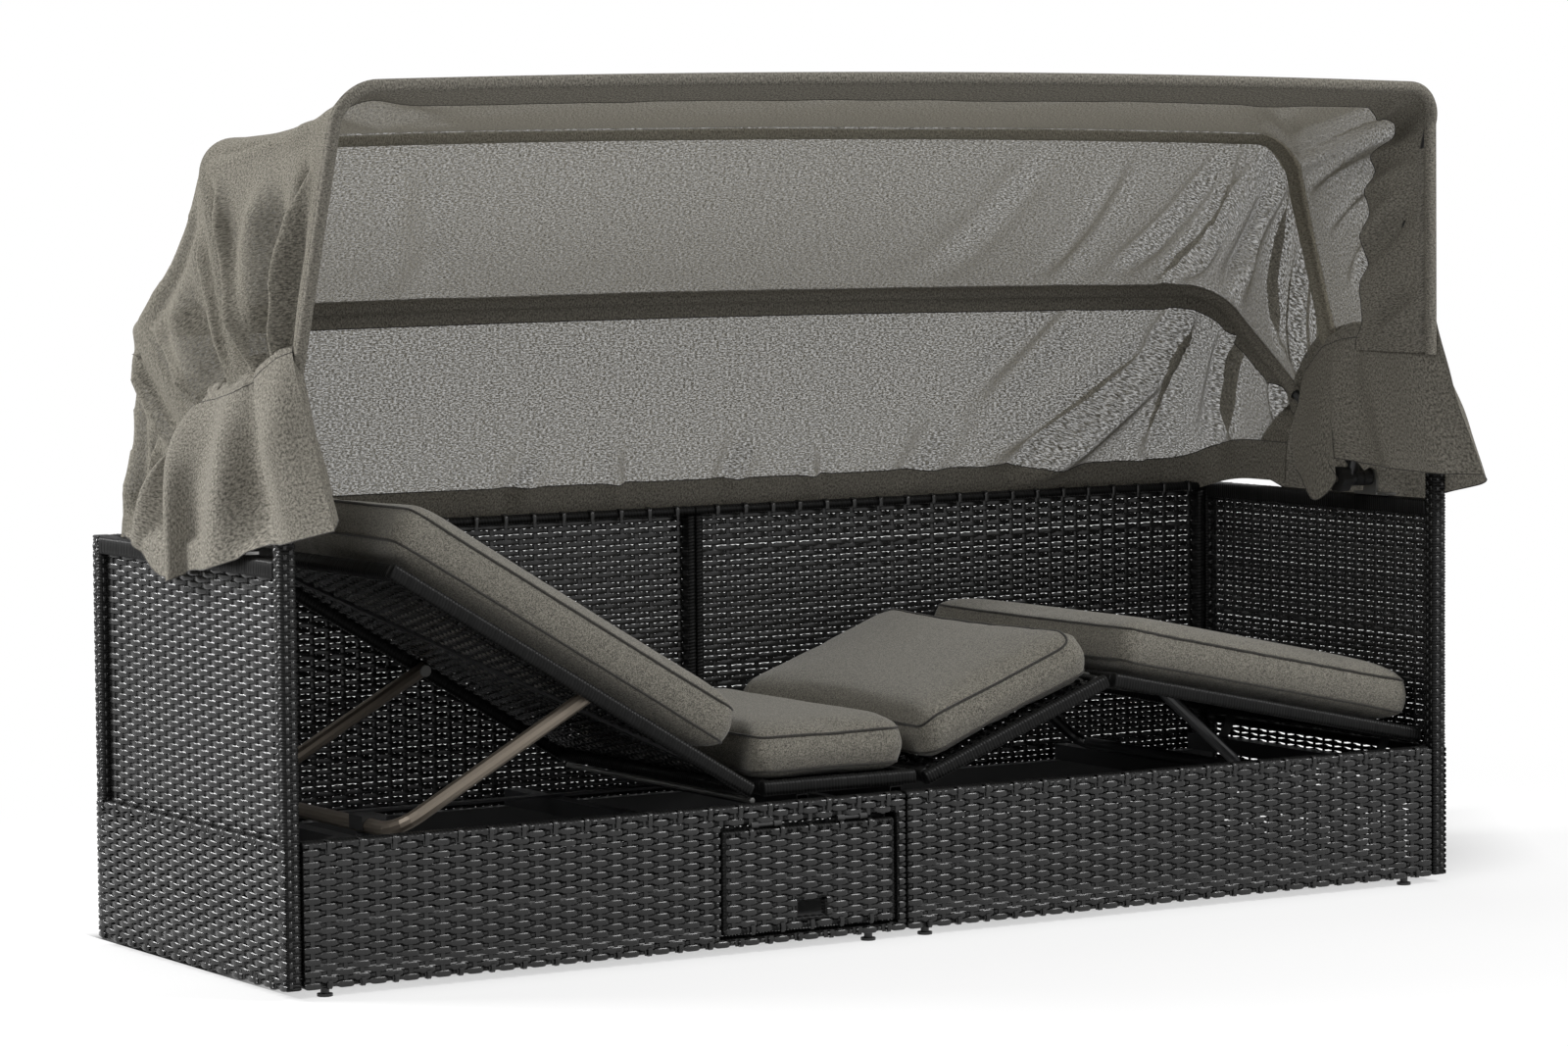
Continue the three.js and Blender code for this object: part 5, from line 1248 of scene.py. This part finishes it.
LEFT_INNER = [
    [(0.941, -0.187, 0.871), (0.946, -0.231, 0.800), (0.957, -0.293, 0.720), (0.972, -0.366, 0.640)],
    [(0.924, -0.166, 0.862), (0.918, -0.196, 0.790), (0.918, -0.236, 0.715), (0.924, -0.281, 0.648)],
    [(0.922, -0.126, 0.848), (0.908, -0.146, 0.780), (0.902, -0.166, 0.710), (0.900, -0.191, 0.650)],
    [(0.926, -0.086, 0.842), (0.914, -0.093, 0.770), (0.911, -0.099, 0.700), (0.911, -0.141, 0.652)],
    [(0.930, -0.051, 0.836), (0.907, -0.056, 0.770), (0.899, -0.056, 0.700), (0.898, -0.061, 0.648)],
    [(0.940, -0.006, 0.820), (0.920, -0.011, 0.750), (0.908, -0.011, 0.690), (0.903, -0.016, 0.612)],
    [(0.953, 0.049, 0.778), (0.932, 0.044, 0.735), (0.918, 0.041, 0.690), (0.911, 0.039, 0.640)],
]


SEAM_ROW = 13
SKIRT_ROWS, SKIRT_COLUMNS = 52, 170
GATHERS = 30
# How far out a skirt hangs over the arm, where the front post ends, and the heights it clears on it and behind it
SKIRT_OUT = 1.0095
FRONT_POST_BACK = -0.24
SKIRT_CLEARS = (0.648, 0.602)


def curve_through(points, count):
    """Places spread along a smooth line through the given ones."""
    at = np.linspace(0, len(points) - 1, count)
    i = np.minimum(at.astype(int), len(points) - 2)
    f = (at - i).reshape((-1,) + (1,) * (points.ndim - 1))
    padded = np.concatenate([2 * points[:1] - points[1:2], points, 2 * points[-1:] - points[-2:-1]])
    p0, p1, p2, p3 = (padded[i + k] for k in range(4))
    return 0.5 * (2 * p1 + (p2 - p0) * f + (2 * p0 - 5 * p1 + 4 * p2 - p3) * f**2 + (3 * p1 - p0 - 3 * p2 + p3) * f**3)


def skirt(name, columns, side, node, outer=True):
    """A skirt through its columns, tucked in under the panels above it and finely gathered at its top."""
    columns = np.array(columns)
    middle_share = np.sin(np.linspace(0, math.pi, len(columns)))[:, None, None]
    tuck = columns[:, :1] + np.array([-0.016, 0, 0.024]) * (1 if outer else -1, 1, 1) * (0.3 + 0.7 * middle_share)
    grid = curve_through(np.concatenate([tuck, columns], axis=1), SKIRT_COLUMNS)
    grid = curve_through(grid.swapaxes(0, 1), SKIRT_ROWS).swapaxes(0, 1)
    u = np.linspace(0, 1, SKIRT_COLUMNS)[:, None]
    v = np.linspace(0, 1, SKIRT_ROWS)[None]
    gathers = np.sin(2 * math.pi * GATHERS * u + 2 * np.sin(9 * u)) * np.exp(-v / 0.16) * np.clip(v * 30, 0, 1)
    grid[..., 0] += 0.0024 * gathers + 0.0022 * smooth_noise(u * 2 + 0 * v, v * 0.8 + 0 * u, 9, 21 + side, 6, 22)
    if outer:
        # Held off the arm rail and the front post, which it hangs over
        top_of_post = np.where(grid[..., 1] < FRONT_POST_BACK, *SKIRT_CLEARS)
        above = np.clip(grid[..., 2] - top_of_post, 0, None)
        grid[..., 0] = np.maximum(grid[..., 0], SKIRT_OUT - 1.3 * above - np.clip(-0.310 - grid[..., 1], 0, None))
    grid[..., 0] *= side
    band_piece(name, grid, "base", None, node=node)
    return grid


SEAM_RADIUS = 0.0008


def seam(name, path, body, places=None):
    skin = Skin()
    tube_along(skin, path, SEAM_RADIUS, sides=5, closed=False)
    made = skin.build(name, thread)
    if places:
        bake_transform(made)
    else:
        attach(made, body)


for side, end, outer_columns, inner_columns in (
    (-1, "left", LEFT_OUTER, LEFT_INNER),
    (1, "right", RIGHT_OUTER, RIGHT_INNER),
):
    outer = skirt(f"canopy_skirt_{end}_cloth", outer_columns, side, f"canopy_skirt_{end}")
    inner = skirt(f"canopy_skirt_{end}_lining", inner_columns, side, None, outer=False)
    for label, grid in (("cloth", outer), ("lining", inner)):
        seam(f"skirt_{label}_{end}_seam", grid[:, SEAM_ROW], "base")
        seam(f"skirt_{label}_{end}_hem", grid[:, -1], "base")
seam("front_band_seam", front_band[:, -1], ("canopy_middle", "canopy_front"), places=front_places)
seam("rear_band_seam", rear_band[:, -1], "canopy_rear")
seam("hem_seam", hem_band[:, -1], ("base", "canopy_rear"), places=back_places)


# Finishes of the hard pieces, which are the CAD part's own solids
PLASTIC_WORDS = ("glide", "knob", "clip", "flap_hinge")
STEEL_WORDS = ("rod", "bolt", "bracket")
for node_name, node in nodes.items():
    finish = tube_coat
    if node_name == "backrest_prop":
        finish = prop_coat
    elif any(word in node_name for word in PLASTIC_WORDS):
        finish = plastic
    elif any(word in node_name for word in STEEL_WORDS):
        finish = steel
    for material_slot in node.material_slots:
        material_slot.material = finish
    if not node.material_slots:
        node.data.materials.append(finish)

# Floor, lights and camera
CAMERA_PLACE = Vector((-3.996, -6.3825, 1.116))
YAW, PITCH, ROLL = 0.5542, -0.0700, -0.0083
FOCAL_SHARE = 5189 / 1600

forward = Vector((math.sin(YAW) * math.cos(PITCH), math.cos(YAW) * math.cos(PITCH), math.sin(PITCH)))
right = Vector((math.cos(YAW), -math.sin(YAW), 0))
upward = right.cross(forward)
rolled_right = right * math.cos(ROLL) + upward * math.sin(ROLL)
rolled_up = upward * math.cos(ROLL) - right * math.sin(ROLL)
camera_data = bpy.data.cameras.new("camera")
camera_data.sensor_width = 36
camera_data.lens = 36 * FOCAL_SHARE
camera_data.clip_end = 60
camera = bpy.data.objects.new("camera", camera_data)
turn = Matrix((rolled_right, rolled_up, -forward)).transposed()
camera.matrix_world = Matrix.Translation(CAMERA_PLACE) @ turn.to_4x4()
bpy.context.scene.collection.objects.link(camera)
bpy.context.scene.camera = camera


def shown_white(tree):
    """1 for the rays that see the plain white set: the camera's, and those of gloss and glass."""
    path = add(tree, "ShaderNodeLightPath").outputs
    mirrored = calc(tree, "MAXIMUM", path["Is Glossy Ray"], path["Is Transmission Ray"])
    return calc(tree, "MAXIMUM", path["Is Camera Ray"], mirrored)


FLOOR_REACH = 14
# The bed's patch of floor painted in shade: its left and front edge, and where its right and back edge fade out
SHADE_LEFT, SHADE_FRONT = -0.975, -0.165
SHADE_RIGHT, SHADE_BACK = (1.03, 1.10), (0.40, 0.48)
floor_mesh = bpy.data.meshes.new("floor")
floor_mesh.from_pydata([(x * FLOOR_REACH, y * FLOOR_REACH, 0) for x, y in ((-1, -1), (1, -1), (1, 1), (-1, 1))],
                       [], [(0, 1, 2, 3)])
floor = bpy.data.objects.new("floor", floor_mesh)
bpy.context.scene.collection.objects.link(floor)
floor_material, tree, shader = new_material("Pale floor")
set_shader(shader, Roughness=0.9)
place = add(tree, "ShaderNodeTexCoord").outputs["Object"]
axes = add(tree, "ShaderNodeSeparateXYZ", [(0, place)]).outputs
# The floor inside the box, and where its lower edge is seen past, is painted nearly black: painted shade
right_of_end = calc(tree, "GREATER_THAN", axes[0], SHADE_LEFT)
behind_front = calc(tree, "GREATER_THAN", axes[1], SHADE_FRONT)
before_right = ramp(tree, axes[0], *SHADE_RIGHT, 1.0, 0.0)
before_back = ramp(tree, axes[1], *SHADE_BACK, 1.0, 0.0)
painted_shade_patch = right_of_end
for share in (behind_front, before_right, before_back):
    painted_shade_patch = calc(tree, "MULTIPLY", painted_shade_patch, share)
# The floor's own grey, and the nearly black grey of the painted shade
lit_grey, painted_shade_grey = (0.62, 0.62, 0.62, 1), (0.02, 0.02, 0.02, 1)
tree.links.new(mixed_colour(tree, painted_shade_patch, lit_grey, painted_shade_grey), shader.inputs["Base Color"])
# Near the bed a share of the white is lit by the lamps, so that it keeps the bed's shadow
distance = add(tree, "ShaderNodeVectorMath", [(0, scaled(tree, place, (1.0, 1.5, 1.0)))], operation="LENGTH")
far_share = ramp(tree, distance.outputs["Value"], 1.4, 2.8, 0.75, 1.0, interpolation_type="SMOOTHSTEP")
lit_by_lamps = add(tree, "ShaderNodeBsdfDiffuse", [("Color", (0.95, 0.95, 0.95, 1))])
white = add(tree, "ShaderNodeEmission", [("Color", (1, 1, 1, 1)), ("Strength", 1.0)])
pale = mixed_shader(tree, far_share, lit_by_lamps.outputs[0], white.outputs[0])
# Under the bed and beside its right end, in a given patch, the floor has no white of its own and shows only what the
# lamps give it: a deeper shade painted in by the material
deep_shade_patch = ramp(tree, calc(tree, "MULTIPLY_ADD", axes[1], -0.62, axes[0]), 1.06, 1.40, 1.0, 0.0)
ease_in = ramp(tree, axes[1], -0.34, 0.06, interpolation_type="SMOOTHSTEP")
for share in (right_of_end, ease_in, before_back):
    deep_shade_patch = calc(tree, "MULTIPLY", deep_shade_patch, share)
white_share = calc(tree, "SUBTRACT", shown_white(tree), deep_shade_patch, use_clamp=True)
surface(tree, mixed_shader(tree, white_share, shader.outputs[0], pale))
floor_mesh.materials.append(floor_material)

world = bpy.data.worlds.new("studio")
bpy.context.scene.world = world
world.use_nodes = True
tree = world.node_tree
# White to look at, dim as a source of light
AMBIENT = 0.06
level = add(tree, "ShaderNodeMix", [("Factor", shown_white(tree)), (2, AMBIENT), (3, 1.0)], data_type="FLOAT")
backdrop = tree.nodes["Background"]
backdrop.inputs["Color"].default_value = (1, 1, 1, 1)
tree.links.new(level.outputs[0], backdrop.inputs["Strength"])


def soft_light(name, place, target, size, power):
    data = bpy.data.lights.new(name, "AREA")
    data.shape = "RECTANGLE"
    data.size, data.size_y = size
    data.energy = power
    lamp = bpy.data.objects.new(name, data)
    lamp.location = place
    aim = Vector(target) - Vector(place)
    lamp.rotation_euler = aim.to_track_quat("-Z", "Y").to_euler()
    bpy.context.scene.collection.objects.link(lamp)


soft_light("left", (-4.2, 2.4, 2.7), (-0.9, 0, 0.6), (1.6, 1.4), 292)
soft_light("front left", (-4.2, -2.6, 3.4), (-0.8, 0, 0.6), (1.8, 1.6), 78)
soft_light("front", (3.2, -3.5, 4.7), (0.6, 0, 0.4), (2.0, 1.8), 262)
soft_light("top", (0.2, 0.9, 4.2), (0, 0, 1.0), (3.0, 2.0), 78)

bpy.context.scene.view_settings.view_transform = "Standard"

bpy.context.view_layer.update()
